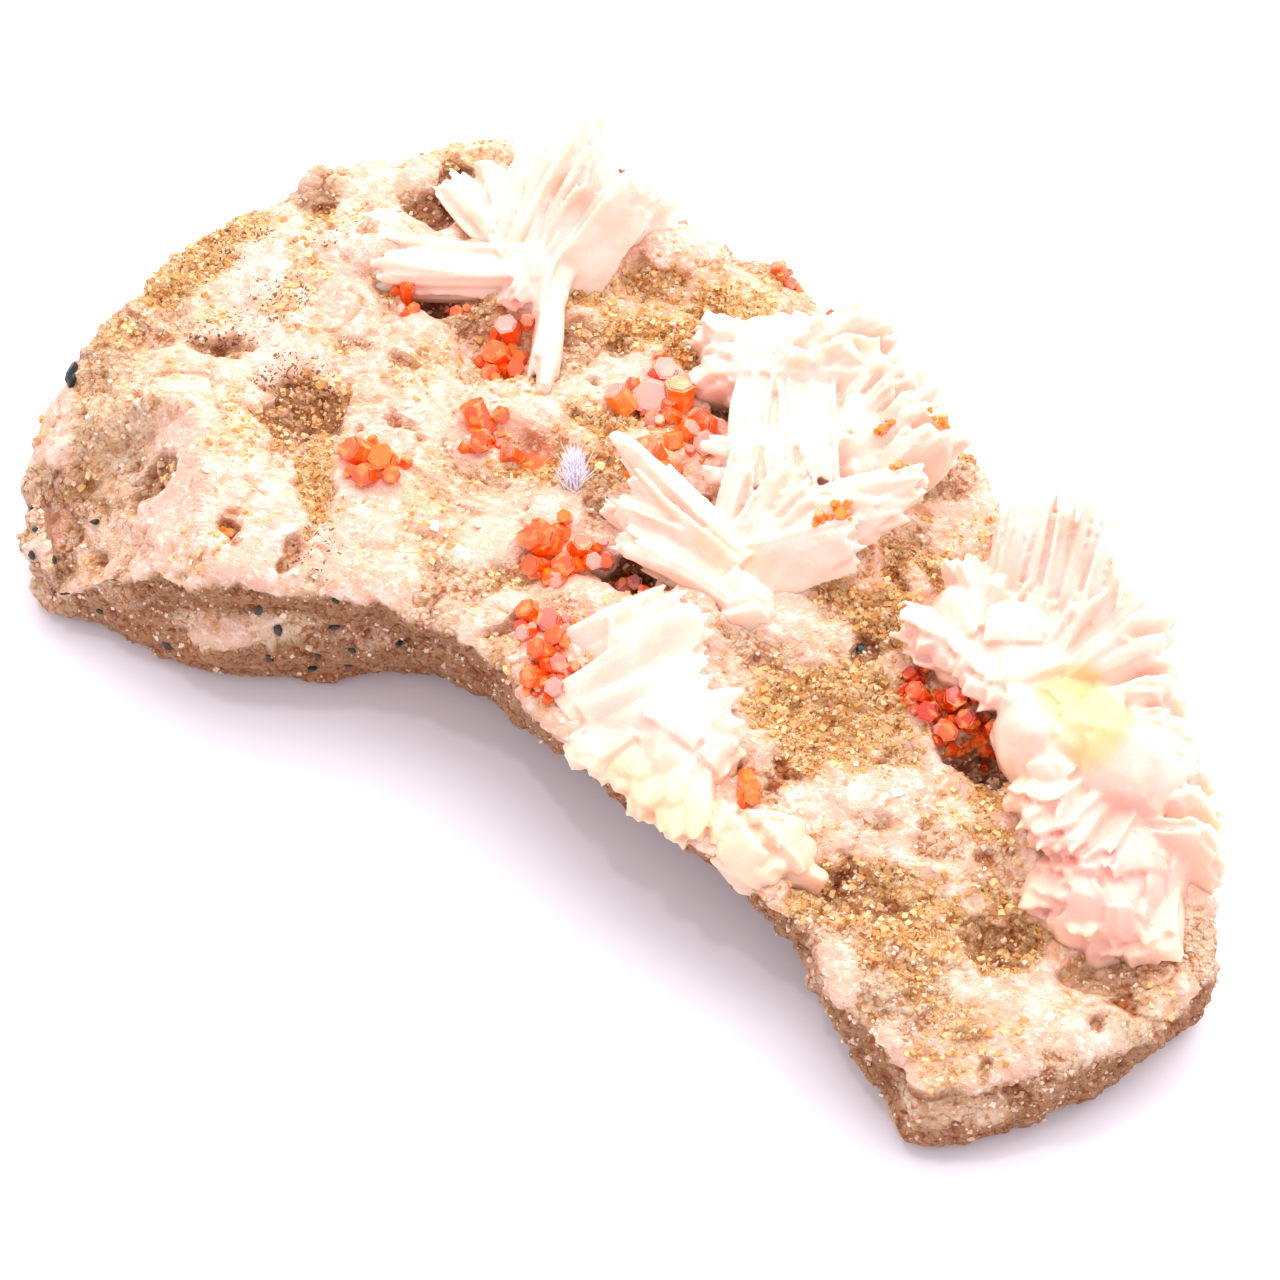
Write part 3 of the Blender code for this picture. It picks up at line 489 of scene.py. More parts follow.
def finish_material(tree, shader, colour, height, strength, depth_mm, settings):
    """The shader's colour, its relief of that depth, and the rest of its settings."""
    tree.links.new(colour, shader.inputs["Base Color"])
    bump = add_node(tree, "ShaderNodeBump",
                    {"Strength": strength, "Distance": depth_mm * MM, "Height": height})
    tree.links.new(bump, shader.inputs["Normal"])
    for key, value in settings.items():
        shader.inputs[key].default_value = value


def rock_material():
    """Iron-stained dolomite: packed sugary grains, tan to orange-brown, under a skin of pale barite."""
    material, tree, shader, place, layer = start_material(
        "iron_stained_dolomite", ("crust", "ochre", "brown", "depth", "wall", "pepper"))
    broad, mottle, flecks, rough = [
        add_node(tree, "ShaderNodeTexNoise", {"Vector": place, "Scale": 1 / (size * MM), "Detail": detail,
                                              "Roughness": roughness})
        for size, detail, roughness in (
            (4.0, 5.0, 0.6), (1.3, 6.0, 0.7), (2.2, 7.0, 0.75), (0.3, 5.0, 0.75))]
    swirl = add_node(tree, "ShaderNodeTexNoise",
                     {"Vector": place, "Scale": 1 / (0.4 * MM), "Detail": 0.0}, "Color")
    swirl = add_node(tree, "ShaderNodeVectorMath", {0: swirl, 1: (0.5, 0.5, 0.5)}, operation='SUBTRACT')
    bent = add_node(tree, "ShaderNodeVectorMath", {0: swirl, 1: (0.45 * MM,) * 3, 2: place},
                    operation='MULTIPLY_ADD')
    seams, tones = [], []
    for grain in (0.36, 0.17):
        links = {"Vector": bent, "Scale": 1 / (grain * MM)}
        seams.append(add_node(tree, "ShaderNodeTexVoronoi", links, "Distance"))
        cell = add_node(tree, "ShaderNodeTexVoronoi", links, "Color")
        tones.append(add_node(tree, "ShaderNodeSeparateColor", {0: cell}))
    bare = lay_colours(tree, "#ECBC9A", (
        (broad, 0.40, 0.60, "#EAC6A2", 'MIX'), (mottle, 0.52, 0.64, "#D6A270", 'MIX'),
        (tones[0], 0.62, 0.92, "#F0D4BC", 'MIX')))
    ochre = lay_colours(tree, "#ECC084", (
        (mottle, 0.42, 0.58, "#DE9E56", 'MIX'), (tones[0], 0.60, 0.95, "#EED2A2", 'MIX'),
        (tones[1], 0.80, 0.95, "#A0642C", 'MIX')))
    crust = lay_colours(tree, "#E6AE98", (
        (broad, 0.36, 0.64, "#E7B6A2", 'MIX'), (mottle, 0.53, 0.64, "#DDA37E", 'MIX'),
        (flecks, 0.50, 0.62, "#F0D0C2", 'MIX'), (tones[0], 0.70, 0.95, "#EFCCBC", 'MIX'),
        (rough, 0.57, 0.68, "#C08A5C", 'MIX')))
    brown = lay_colours(tree, "#A2683F", ((tones[0], 0.2, 0.9, "#CC9C74", 'MIX'),))
    open_rock = add_node(tree, "ShaderNodeMath", {0: layer["crust"], 1: -0.75, 2: 1.0},
                         operation='MULTIPLY_ADD')
    edge = add_node(tree, "ShaderNodeMath", {0: seams[0], 1: open_rock}, operation='MULTIPLY')
    speck = add_node(tree, "ShaderNodeMath", {0: layer["pepper"], 1: 0.4, 2: tones[1]},
                     operation='MULTIPLY_ADD')
    colour = lay_colours(tree, bare, (
        (layer["ochre"], 0.0, 1.0, ochre, 'MIX'), (layer["crust"], 0.0, 1.0, crust, 'MIX'),
        # painted shade: the sunken places, pits and cracks are darkened by the multiply at the end of the
        # next line
        (layer["brown"], 0.0, 1.0, brown, 'MIX'), (layer["depth"], 0.0, 1.0, "#D8A680", 'MULTIPLY'),
        # painted shade: the front walls, which face away from the key lamp, are darkened by the first
        # multiply on the next line
        (layer["wall"], 0.0, 1.0, "#CEB49E", 'MULTIPLY'), (edge, 0.45, 0.85, "#D9A57C", 'MULTIPLY'),
        (speck, 1.16, 1.24, "#7E573E", 'MIX')))
    relief = add_node(tree, "ShaderNodeMath", {0: seams[0], 1: -0.6, 2: rough}, operation='MULTIPLY_ADD')
    relief = add_node(tree, "ShaderNodeMath", {0: seams[1], 1: -0.35, 2: relief}, operation='MULTIPLY_ADD')
    coarse = add_node(tree, "ShaderNodeMath", {0: layer["crust"], 1: -0.6, 2: 1.0},
                      operation='MULTIPLY_ADD')
    finish_material(tree, shader, colour, relief, coarse, 0.30,
                    {"Roughness": 0.75, "Specular IOR Level": 0.4})
    return material


def barite_material():
    """Barite: milky white sheets that light soaks into, stained yellow, pink or cream near the rock."""
    material, tree, shader, place, layer = start_material("milky_barite", ("root", "yellow", "pink"))
    veil = add_node(tree, "ShaderNodeTexNoise", {"Vector": place, "Scale": 1 / (2.5 * MM), "Detail": 3.0})
    lines = add_node(tree, "ShaderNodeTexNoise", {"Vector": place, "Scale": 1 / (0.25 * MM), "Detail": 5.0})
    colour = lay_colours(tree, "#F4D9CB", (
        (veil, 0.40, 0.66, "#F1CAB7", 'MIX'), (layer["root"], 0.0, 1.0, "#F2C8AE", 'MIX'),
        (layer["yellow"], 0.0, 1.0, "#F2C48E", 'MIX'), (layer["pink"], 0.0, 1.0, "#EEB6A8", 'MIX')))
    finish_material(tree, shader, colour, lines, 0.25, 0.12, {
        "Roughness": 0.36, "IOR": 1.64, "Subsurface Weight": 1.0,
        "Subsurface Radius": (1.0, 0.75, 0.62), "Subsurface Scale": 0.9 * MM})
    return material


def vanadinite_material():
    """Vanadinite: adamantine orange-red prisms that glow where thin, some upper ends with a pale pink
    painted highlight.
    """
    material, tree, shader, place, layer = start_material("vanadinite_crystal", ("tint",))
    zone = add_node(tree, "ShaderNodeTexNoise", {"Vector": place, "Scale": 1 / (0.8 * MM), "Detail": 3.0})
    lines = add_node(tree, "ShaderNodeTexNoise", {"Vector": place, "Scale": 1 / (0.35 * MM), "Detail": 3.0})
    # a tint over 1 mixes in pale pink: a painted highlight that stands for the white room's reflection on a
    # crystal's end
    colour = lay_colours(tree, "#FF8E1C", (
        (layer["tint"], 0.0, 0.4, "#FF5E14", 'MIX'), (layer["tint"], 0.4, 1.0, "#CC3002", 'MIX'),
        (zone, 0.50, 0.62, "#FF8E44", 'MIX'), (layer["tint"], 1.0, 2.0, "#F8A89A", 'MIX')))
    finish_material(tree, shader, colour, lines, 0.16, 0.1, {
        "Roughness": 0.08, "IOR": 1.78, "Subsurface Weight": 0.5,
        "Subsurface Radius": (1.0, 0.28, 0.06), "Subsurface Scale": 0.7 * MM})
    return material


def grain_material(name, pale, dark, roughness):
    """Loose mineral grains: each a little lighter or darker than the next."""
    material, tree, shader, place, layer = start_material(name, ("tint",))
    mottle = add_node(tree, "ShaderNodeTexNoise", {"Vector": place, "Scale": 1 / (0.3 * MM), "Detail": 4.0})
    colour = lay_colours(tree, pale, (
        (layer["tint"], 0.0, 1.0, dark, 'MIX'), (mottle, 0.55, 0.75, dark, 'MIX')))
    finish_material(tree, shader, colour, mottle, 0.4, 0.1, {"Roughness": roughness})
    return material


# ---------------------------------------------------------------- rock

WELD = 0.001                 # corners of the solid's loose triangles that are closer than this are one
ROCK_VOXEL = 0.56            # fine enough for the crumb, and the rock stays under 200,000 triangles
END_FOOT = ((-41.4, -12.2), (-36.0, -17.5))      # the broad end's front corner slopes down to this line
END_SLOPE = (2.8, 0.95, 1.5)                     # height there, rise from there, rise past its back end
END_EDGE = 0.6               # the slope keeps at least this height
UNDERSIDE = -0.3             # faces that look down more than this aren't cut finer
FRONT = (0.56, -0.83)        # the way that the front wall faces
WALL_SHADE_START = (-40.0, -32.0)  # painted shade: the front wall's colour darkens between these, from the broad end on
SLAB_TOP = 10.2              # the stain at the foot of the barite is full below this height
FOOT_HEIGHT = 1.2            # the relief dies out over this height, so that the slab stands flat
# How far the barite skin stands proud, and how deep the pits, the cracks and the brown hollows go
SKIN, PIT, CRACK, HOLLOW = 0.75, 0.75, 0.30, 0.45


def patch_strength(places, patches, kind, ragged, full, gone):
    """How strong the patches of one kind are at each vertex: full and gone are shares of their size."""
    values = np.zeros(len(places))
    for _, x, y, length, width, heading, strength in [patch for patch in patches if patch[0] == kind]:
        turn = math.radians(heading)
        dx = places[:, 0] - SHIFT[0] - x
        dy = places[:, 1] - SHIFT[1] - y
        along = dx * math.cos(turn) + dy * math.sin(turn)
        aside = dy * math.cos(turn) - dx * math.sin(turn)
        radius = np.hypot(along / length, aside / width) + ragged
        values = np.maximum(values, strength * (1.0 - smoothstep(full, gone, radius)))
    return values


def patch_masks(places, normals):
    """How far each vertex is crust, ochre, brown, pepper or bare, from patches with ragged edges."""
    ragged = 0.34 * perlin(places, 3.0, 1) + 0.26 * perlin(places, 1.1, 2)
    upward = smoothstep(0.20, 0.65, normals[:, 2])
    masks = {kind: patch_strength(places, PATCHES, kind, ragged, 0.72, 1.06)
             for kind in ("crust", "ochre", "brown", "pepper", "bare")}
    masks["crust"] = np.maximum(masks["crust"], 0.80 * smoothstep(-0.25, 0.12, perlin(places, 3.2, 3)))
    masks["ochre"] = np.maximum(masks["ochre"], 0.60 * smoothstep(0.10, 0.35, perlin(places, 4.0, 4)))
    masks["crust"] *= upward * (1.0 - 0.85 * masks["brown"]) * (1.0 - masks["bare"])
    masks["ochre"] *= 0.35 + 0.65 * upward
    masks["crust"] *= 1.0 - 0.80 * masks["ochre"] * smoothstep(-0.15, 0.25, perlin(places, 2.2, 5))
    return masks


def fine_slab():
    """The solid's slab as an even skin, cut finer everywhere but on the underside."""
    rock = bpy.data.objects.new("rock_slab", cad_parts["matrix"].data.copy())
    bpy.context.scene.collection.objects.link(rock)
    select_only(rock)
    bpy.ops.object.mode_set(mode='EDIT')
    bpy.ops.mesh.select_all(action='SELECT')
    bpy.ops.mesh.remove_doubles(threshold=WELD * MM)
    bpy.ops.mesh.normals_make_consistent(inside=False)
    bpy.ops.object.mode_set(mode='OBJECT')
    apply_modifier(rock, 'REMESH', mode='VOXEL', voxel_size=ROCK_VOXEL * MM)
    apply_modifier(rock, 'SMOOTH', factor=0.5, iterations=3)
    select_only(rock)
    shown = np.array([face.normal.z > UNDERSIDE for face in rock.data.polygons])
    bpy.ops.object.mode_set(mode='EDIT')
    bpy.ops.mesh.select_mode(type='FACE')
    bpy.ops.mesh.select_all(action='DESELECT')
    bpy.ops.object.mode_set(mode='OBJECT')
    rock.data.polygons.foreach_set("select", shown)
    bpy.ops.object.mode_set(mode='EDIT')
    bpy.ops.mesh.subdivide(number_cuts=1)
    bpy.ops.object.mode_set(mode='OBJECT')
    return rock


def slope_end(mesh):
    """Lower the broad end's front corner to a slope that runs down to END_FOOT."""
    places, _ = read_vertices(mesh)
    back, front = np.array(END_FOOT)
    line = (front - back) / np.linalg.norm(front - back)
    offset = places[:, :2] - SHIFT[:2] - back
    inward = offset @ (-line[1], line[0])
    low, rise, rise_past = END_SLOPE
    slope = low + rise * inward + rise_past * np.maximum(-offset @ line, 0.0)
    slope = np.maximum(slope + 0.5 * perlin(places, 2.4, 18), END_EDGE)
    places[:, 2] = np.where(inward > 0.0, np.minimum(places[:, 2], slope), places[:, 2])
    write_vertices(mesh, places)


def make_rock():
    """The slab's surface: the solid's form, then crust, crumb and grain pressed into it by code."""
    rock = fine_slab()
    slope_end(rock.data)
    places, normals = read_vertices(rock.data)
    masks = patch_masks(places, normals)
    crust, ochre, brown, pepper = [masks[kind] for kind in ("crust", "ochre", "brown", "pepper")]
    bare = 1.0 - crust
    ridged = 1.0 - 2.0 * np.abs(perlin(places, 2.6, 6))
    jagged = 1.0 - 2.0 * np.abs(perlin(places, 1.1, 10))
    near = grain_distance(places, 1.2, 7)
    fine_near = grain_distance(places, 0.62, 8)
    lumps = grain_distance(places, 2.3, 9)
    cracks = np.exp(-(perlin(places, 3.1, 15) / 0.05) ** 2)
    cracks *= smoothstep(-0.05, 0.2, perlin(places, 5.0, 16))
    height = bare * (0.34 * ridged + 0.26 * jagged + 0.20 * perlin(places, 0.6, 17))
    height += ((0.50 * ochre + 0.34 * bare) * (0.5 - near)
               + 0.26 * (0.45 - fine_near) * (0.12 + 0.88 * bare))
    height += crust * (SKIN + 0.08 * (0.5 - lumps) + 0.15 * perlin(places, 0.7, 11) + 0.05 * ridged)
    height -= CRACK * cracks * (0.4 + 0.6 * bare)
    pits = smoothstep(0.30, 0.50, perlin(places, 1.5, 13))
    pits *= smoothstep(-0.1, 0.3, perlin(places, 6.0, 14))
    height -= PIT * pits * (0.5 + 0.5 * crust)
    height -= HOLLOW * brown
    height *= smoothstep(0.0, FOOT_HEIGHT, places[:, 2])
    write_vertices(rock.data, places + normals * height[:, None])
    # Painted shade: the walls that face the camera, away from the key lamp behind, are darkened in colour
    facing = smoothstep(0.1, 0.6, normals[:, :2] @ FRONT) * (1.0 - smoothstep(0.05, 0.40, normals[:, 2]))
    layers = {
        "crust": crust * (1.0 - pits) * (1.0 - 0.8 * cracks),
        "ochre": ochre,
        "brown": brown,
        # painted shade: darker the deeper a place is sunk, and in the pits and cracks
        "depth": smoothstep(-0.15, 0.85, -height) + 0.5 * pits + 0.4 * cracks,
        "pepper": pepper,
        "wall": facing * smoothstep(*WALL_SHADE_START, places[:, 0]),
    }
    for name, values in layers.items():
        write_layer(rock, name, values)
    return rock


def surface_seats(rock, layer, low, high, lowest_normal, count, seed):
    """Random seats on the rock where one of its layers lies between two values: (place, normal) in mm."""
    places, normals = read_vertices(rock.data)
    values = np.empty(len(places), dtype=np.float32)
    rock.data.attributes[layer].data.foreach_get("value", values)
    fit = (values >= low) & (values <= high) & (normals[:, 2] > lowest_normal) & (places[:, 2] > 1.0)
    chosen = np.random.RandomState(seed).choice(np.flatnonzero(fit), count, replace=False)
    return places[chosen], normals[chosen]


def make_grains(name, rock, seats, sizes, material, slot, seed):
    """Angular crumbs, one small block copied to every seat with its own size, skew and turn."""
    deselect()
    bpy.ops.mesh.primitive_cube_add(size=1.7)
    verts, faces = take_shape(bpy.context.object)
    rng = np.random.RandomState(seed)
    copies = []
    for place, normal in zip(*surface_seats(rock, *seats, seed)):
        size = sizes[0] + (sizes[1] - sizes[0]) * rng.uniform() ** 2.5
        shape = verts * rng.uniform(0.5, 1.15, 3) * size * rng.uniform(0.6, 1.1, (len(verts), 3))
        turn = Quaternion(rng.uniform(-1, 1, 3), rng.uniform(0, math.tau)).to_matrix()
        copies.append((shape @ np.array(turn).T + place - normal * size * 0.1, faces, rng.uniform()))
    finish_piece(join_copies(name, copies), slot, material)


def make_scales(rock, master, material):
    """Small broken sheets lying on the barite crust."""
    rng = random.Random(71)
    copies = []
    for place, normal in zip(*surface_seats(rock, "crust", 0.75, 1.0, 0.2, SCALES, 72)):
        normal = Vector(normal)
        turn = Quaternion(normal, rng.uniform(0, math.tau))
        axis = (turn @ normal.orthogonal().normalized() + normal * rng.uniform(0.05, 0.9)).normalized()
        side = axis.cross(normal).normalized()
        root = Vector(place - SHIFT) - axis * 0.3 - normal * 0.1
        size = 0.20 + 0.5 * rng.random() ** 3
        copies.append(lay_sheet(master, rng, root, axis, side, size * rng.uniform(0.8, 1.5), size,
                                rng.uniform(0.12, 0.25), 0.8, 0.2))
    finish_piece(join_copies("crust_scales", copies), "barite", material)


def make_specks(tree, material):
    """Black manganese grains set in the rock."""
    deselect()
    bpy.ops.mesh.primitive_ico_sphere_add(subdivisions=2, radius=1.0)
    verts, faces = take_shape(bpy.context.object)
    rng = np.random.RandomState(81)
    copies = []
    for x, y, z, size in SPECKS:
        place, normal, _, _ = tree.find_nearest((Vector((x, y, z)) + Vector(SHIFT)) * MM)
        seat = np.array(place) / MM + np.array(normal) * SPECK_PROUD
        shape = verts * size * np.array((1.0, 0.7, 0.5)) * rng.uniform(0.8, 1.15, (len(verts), 1))
        turn = UP.rotation_difference(normal) @ Quaternion(UP, rng.uniform(0, math.tau))
        copies.append((shape @ np.array(turn.to_matrix()).T + seat, faces, rng.uniform()))
    finish_piece(join_copies("manganese_specks", copies), "rock", material)


# ---------------------------------------------------------------- crystals

CREST_VOXEL = 0.17           # the sheets of a crest are fused into one skin this fine
CREST_KEPT = 0.42            # share of the skin's faces that are kept
THINNEST = 0.36              # a sheet thinner than this would break up in the skin
SHEET_STEP = 2.7             # how far apart the sheets of a massive lump end
SHEET_RISE = 0.55            # and how far each stands proud
LUMP_FACES = 26              # flat faces that cut a lump
LUMP_CUT = (0.74, 0.95)      # how near its centre they come, as shares of its radius
LUMP_SWELL = 1.06            # and how much larger it is made to make up for them
HIGH_ABOVE = 100.0           # a look down at the surface starts here
RIM_HEIGHT = 11.0            # the upper edge of the slab
END_FACE = 0.49              # the upper end of a prism of unit height is above this


def sheet_master(across, along):
    """A closed flat sheet of unit size, cut into small faces: x across, y along, z through."""
    deselect()
    bpy.ops.mesh.primitive_grid_add(x_subdivisions=across, y_subdivisions=along, size=1.0)
    bpy.ops.object.mode_set(mode='EDIT')
    bpy.ops.mesh.select_all(action='SELECT')
    bpy.ops.mesh.extrude_region_move(TRANSFORM_OT_translate={"value": (0.0, 0.0, 1.0)})
    bpy.ops.object.mode_set(mode='OBJECT')
    verts, faces = take_shape(bpy.context.object)
    return verts * 2 - np.array((0.0, 0.0, 1.0)), faces


def lay_sheet(master, rng, root, axis, side, length, width, thickness, tip_width=0.9, jag=0.12):
    """Place one sheet of barite: toothed at the tip, uneven at its sides, thin at the rim."""
    verts, faces = master
    across, along, through = verts[:, 0], verts[:, 1] / 2 + 0.5, verts[:, 2]
    face = axis.cross(side)
    seed = rng.uniform(0, 90)
    columns = np.array([round(3.5 * noise.noise(Vector((a * 2.2, seed, 3.0)))) / 3.5 for a in across])
    rows = np.array([noise.noise(Vector((b * 4.1, seed, s))) for b, s in zip(along, np.sign(across))])
    ribs = np.array([noise.noise(Vector((a * 4.3, b * 0.6, seed))) for a, b in zip(across, along)])
    reach = along * (1.0 + jag * 2.0 * columns - 0.10 * across ** 2)
    half = width / 2 * (1.0 + (tip_width - 1.0) * along) * (1.0 + 0.16 * rows * along)
    rim = np.sqrt(np.clip(1.0 - 0.6 * across ** 6, 0.0, 1.0)) * (1.0 - 0.45 * along ** 4)
    lift = through * thickness / 2 * rim + thickness * 0.30 * ribs
    lift += 0.05 * length * math.sin(seed) * np.sin(along * math.pi)
    points = np.array(root) + SHIFT + np.outer(reach * length, axis)
    return points + np.outer(across * half, side) + np.outer(lift, face), faces, rng.random()


def lay_blade(master, rng, root, tip, width, thickness, roll, tip_width):
    """One blade of the solid model: a core with thinner sheets grown along both its faces."""
    axis = (tip - root).normalized()
    side = Quaternion(axis, math.radians(roll)) @ axis.cross(UP).normalized()
    face = axis.cross(side)
    length = (tip - root).length
    sheets = [lay_sheet(master, rng, root, axis, side, length * 0.96, width * 0.92, thickness, tip_width)]
    layers = 5 if thickness > 1.4 else 4
    for k in range(layers):
        offset = (k / (layers - 1) - 0.5) * thickness * 0.95
        start = root + face * offset + side * rng.uniform(-0.07, 0.07) * width
        lean = axis + face * (offset * 0.03 + rng.uniform(-0.02, 0.02)) + side * rng.uniform(-0.04, 0.04)
        across = (side + face * rng.uniform(-0.06, 0.06)).normalized()
        long, wide = length * rng.uniform(0.72, 1.02), width * rng.uniform(0.72, 1.0)
        sheets.append(lay_sheet(master, rng, start, lean.normalized(), across, long, wide,
                                max(thickness * 0.30, THINNEST), tip_width))
    return sheets


def crest_blades(master, rng, parts):
    """Every blade of the solid model at its place."""
    copies = []
    for first, last, count, width, thickness, roll, tip_width in parts["rows"]:
        last = last or first
        for k in range(count):
            share = k / max(count - 1, 1)
            root = Vector(first[0]).lerp(Vector(last[0]), share)
            tip = Vector(first[1]).lerp(Vector(last[1]), share)
            tip += (tip - root) * rng.uniform(-0.12, 0.05)
            copies += lay_blade(master, rng, root, tip, width, thickness,
                                roll + rng.uniform(-7, 7), tip_width)
    return copies


def layered_lump(centre, radii, uneven, heading, seed):
    """One massive lump of barite, whose surface steps down from sheet to sheet across the heading."""
    deselect()
    bpy.ops.mesh.primitive_ico_sphere_add(subdivisions=6, radius=1.0)
    verts, faces = take_shape(bpy.context.object)
    rng = np.random.RandomState(seed)
    faces_out = rng.normal(size=(LUMP_FACES, 3))
    faces_out /= np.linalg.norm(faces_out, axis=1)[:, None]
    reach = (verts @ faces_out.T) / rng.uniform(*LUMP_CUT, LUMP_FACES)
    verts = verts * (LUMP_SWELL / np.maximum(reach.max(axis=1), 1.0))[:, None]
    places = verts * np.array(radii)
    stack = np.array((-math.sin(heading), math.cos(heading), 0.35))
    level = (places @ stack / SHEET_STEP + 0.5 * perlin(places, 4.0, seed)
             + 0.10 * perlin(places, 1.1, seed + 3))
    sheet = np.floor(level)
    proud = 0.5 + 0.5 * np.sin(sheet * 12.9898 + seed)
    outward = verts / np.array(radii)
    outward /= np.linalg.norm(outward, axis=1)[:, None]
    relief = (level - sheet) * SHEET_RISE * proud + 0.05 * perlin(places, 0.5, seed + 5)
    push = 0.92 + uneven * perlin(verts, 0.8, seed) + 0.4 * uneven * perlin(verts, 0.3, seed + 7)
    return np.array(centre) + SHIFT + places * push[:, None] + outward * relief[:, None], faces, 0.5


def crest_lumps(master, rng, parts, seed):
    """The massive barite that the blades stand in, with short sheets lying on its upper side."""
    copies = []
    count, upright, towards, length, width = parts["cover"]
    for k, (centre, radii, uneven) in enumerate(parts["lumps"]):
        heading = math.radians(towards) + rng.uniform(-0.25, 0.25)
        copies.append(layered_lump(centre, radii, uneven, heading, seed + k))
        for _ in range(count):
            turn, rise = rng.uniform(0.0, math.tau), rng.uniform(0.35, 1.0)
            flat = math.sqrt(1.0 - rise * rise)
            outward = Vector((flat * math.cos(turn), flat * math.sin(turn), rise))
            place = Vector(centre) + Vector([o * r * 0.84 for o, r in zip(outward, radii)])
            along = Vector((math.cos(heading), math.sin(heading), 0.0))
            along = Quaternion(UP, rng.uniform(-0.3, 0.3)) @ along
            along = (along - outward * along.dot(outward)).normalized()
            axis = (outward * upright + along * (1.0 - upright)).normalized()
            axis = (axis + Vector([rng.uniform(-0.12, 0.12) for _ in range(3)])).normalized()
            side = axis.cross(outward).normalized()
            start = place - axis * length * 0.4 * (1.0 - upright)
            copies.append(lay_sheet(master, rng, start, axis, side, length * rng.uniform(0.6, 1.2),
                                    width * rng.uniform(0.6, 1.3), rng.uniform(0.6, 1.1), 0.8, 0.06))
    return copies


def make_crest(name, parts, blade, scale, material, seed):
    """One stand of barite: its lumps and blades fused into one skin, then stained."""
    rng = random.Random(seed)
    copies = crest_lumps(scale, rng, parts, seed) + crest_blades(blade, rng, parts)
    crest = join_copies(name.replace("barite_", "crest_"), copies)
    apply_modifier(crest, 'REMESH', mode='VOXEL', voxel_size=CREST_VOXEL * MM)
    apply_modifier(crest, 'DECIMATE', ratio=CREST_KEPT)
    places, _ = read_vertices(crest.data)
    ragged = 0.3 * perlin(places, 2.2, 51)
    write_layer(crest, "root", 1.0 - smoothstep(0.0, 3.0, places[:, 2] - SLAB_TOP))
    for tone in ("yellow", "pink"):
        write_layer(crest, tone, patch_strength(places, STAINS, tone, ragged, 0.55, 1.15))
    finish_piece(crest, "barite", material, name, smooth=55)
    return crest


def crystal_master():
    """One hexagonal prism of unit radius and height with bevelled edges and a stepped upper end."""
    deselect()
    bpy.ops.mesh.primitive_cylinder_add(vertices=6, radius=1.0, depth=1.0)
    obj = bpy.context.object
    bpy.ops.object.mode_set(mode='EDIT')
    bpy.ops.mesh.select_mode(type='FACE')
    for inset, rise in ((0.16, 0.035), (0.22, -0.05)):
        bpy.ops.mesh.select_all(action='DESELECT')
        bpy.ops.object.mode_set(mode='OBJECT')
        ends = [face for face in obj.data.polygons if face.normal.z > 0.9]
        min(ends, key=lambda face: face.area).select = True
        bpy.ops.object.mode_set(mode='EDIT')
        bpy.ops.mesh.inset(thickness=inset, depth=0.0)
        bpy.ops.mesh.extrude_region_move(TRANSFORM_OT_translate={"value": (0.0, 0.0, rise)})
    bpy.ops.object.mode_set(mode='OBJECT')
    apply_modifier(obj, 'BEVEL', width=0.03, segments=1, limit_method='ANGLE',
                   angle_limit=math.radians(40))
    return take_shape(obj)


def surface_point(tree, x, y):
    """The point of the surface below x, y, or the nearest one where there is no surface below."""
    place = tree.ray_cast(Vector((x + SHIFT[0], y + SHIFT[1], HIGH_ABOVE)) * MM, -UP)[0]
    if place is None:
        place = tree.find_nearest(Vector((x + SHIFT[0], y + SHIFT[1], RIM_HEIGHT)) * MM)[0]
    return np.array(place) / MM


def lay_prism(master, centre, axis, radius, height, spin, tint):
    """The master shape at its place and size, along its axis."""
    verts, faces = master
    turn = (UP.rotation_difference(axis) @ Quaternion(UP, spin)).to_matrix()
    points = verts * np.array((radius, radius, height))
    return points @ np.array(turn).T + np.array(centre), faces, tint


def crystal_tint(master, rng, tone, lowest, painted_highlight_share):
    """A crystal's tint, up to its cluster's tone, and over 1 on the upper end where the crystal gets a
    painted highlight.
    """
    tint = min(tone * rng.uniform(lowest, 1.0), 1.0)
    end = master[0][:, 2] > END_FACE
    return np.where(end & (rng.random() < painted_highlight_share), rng.uniform(1.3, 2.0), tint)


def make_vanadinite(tree, master, material, name, crystals, small, tone, painted_highlight_share, seed):
    """The named prisms of one cluster, with smaller ones grown between and beside them."""
    rng = random.Random(seed)
    copies = []
    for x, y, radius, height, lean_x, lean_y in crystals:
        axis = Vector((lean_x, lean_y, 1.0)).normalized()
        centre = surface_point(tree, x, y) + np.array(axis) * (height * 0.32)
        spin, tint = rng.uniform(0, 1), crystal_tint(master, rng, tone, 0.3, painted_highlight_share)
        copies.append(lay_prism(master, centre, axis, radius * 0.80, height, spin, tint))
    for k in range(small * 2):
        x, y, radius = crystals[k % len(crystals)][:3]
        turn = rng.uniform(0, math.tau)
        size = radius * rng.uniform(0.20, 0.55)
        height = size * rng.uniform(1.3, 2.4)
        axis = Vector((rng.uniform(-1.0, 1.0), rng.uniform(-1.1, 0.7), 1.0)).normalized()
        reach = radius * rng.uniform(0.7, 1.5)
        centre = surface_point(tree, x + reach * math.cos(turn), y + reach * math.sin(turn))
        centre = centre + np.array(axis) * (height * 0.3)
        spin, tint = rng.uniform(0, 1), crystal_tint(master, rng, tone, 0.2, painted_highlight_share * 0.7)
        copies.append(lay_prism(master, centre, axis, size, height, spin, tint))
    cluster = join_copies(name.replace("vanadinite_", "crystals_"), copies)
    finish_piece(cluster, "vanadinite", material, name)


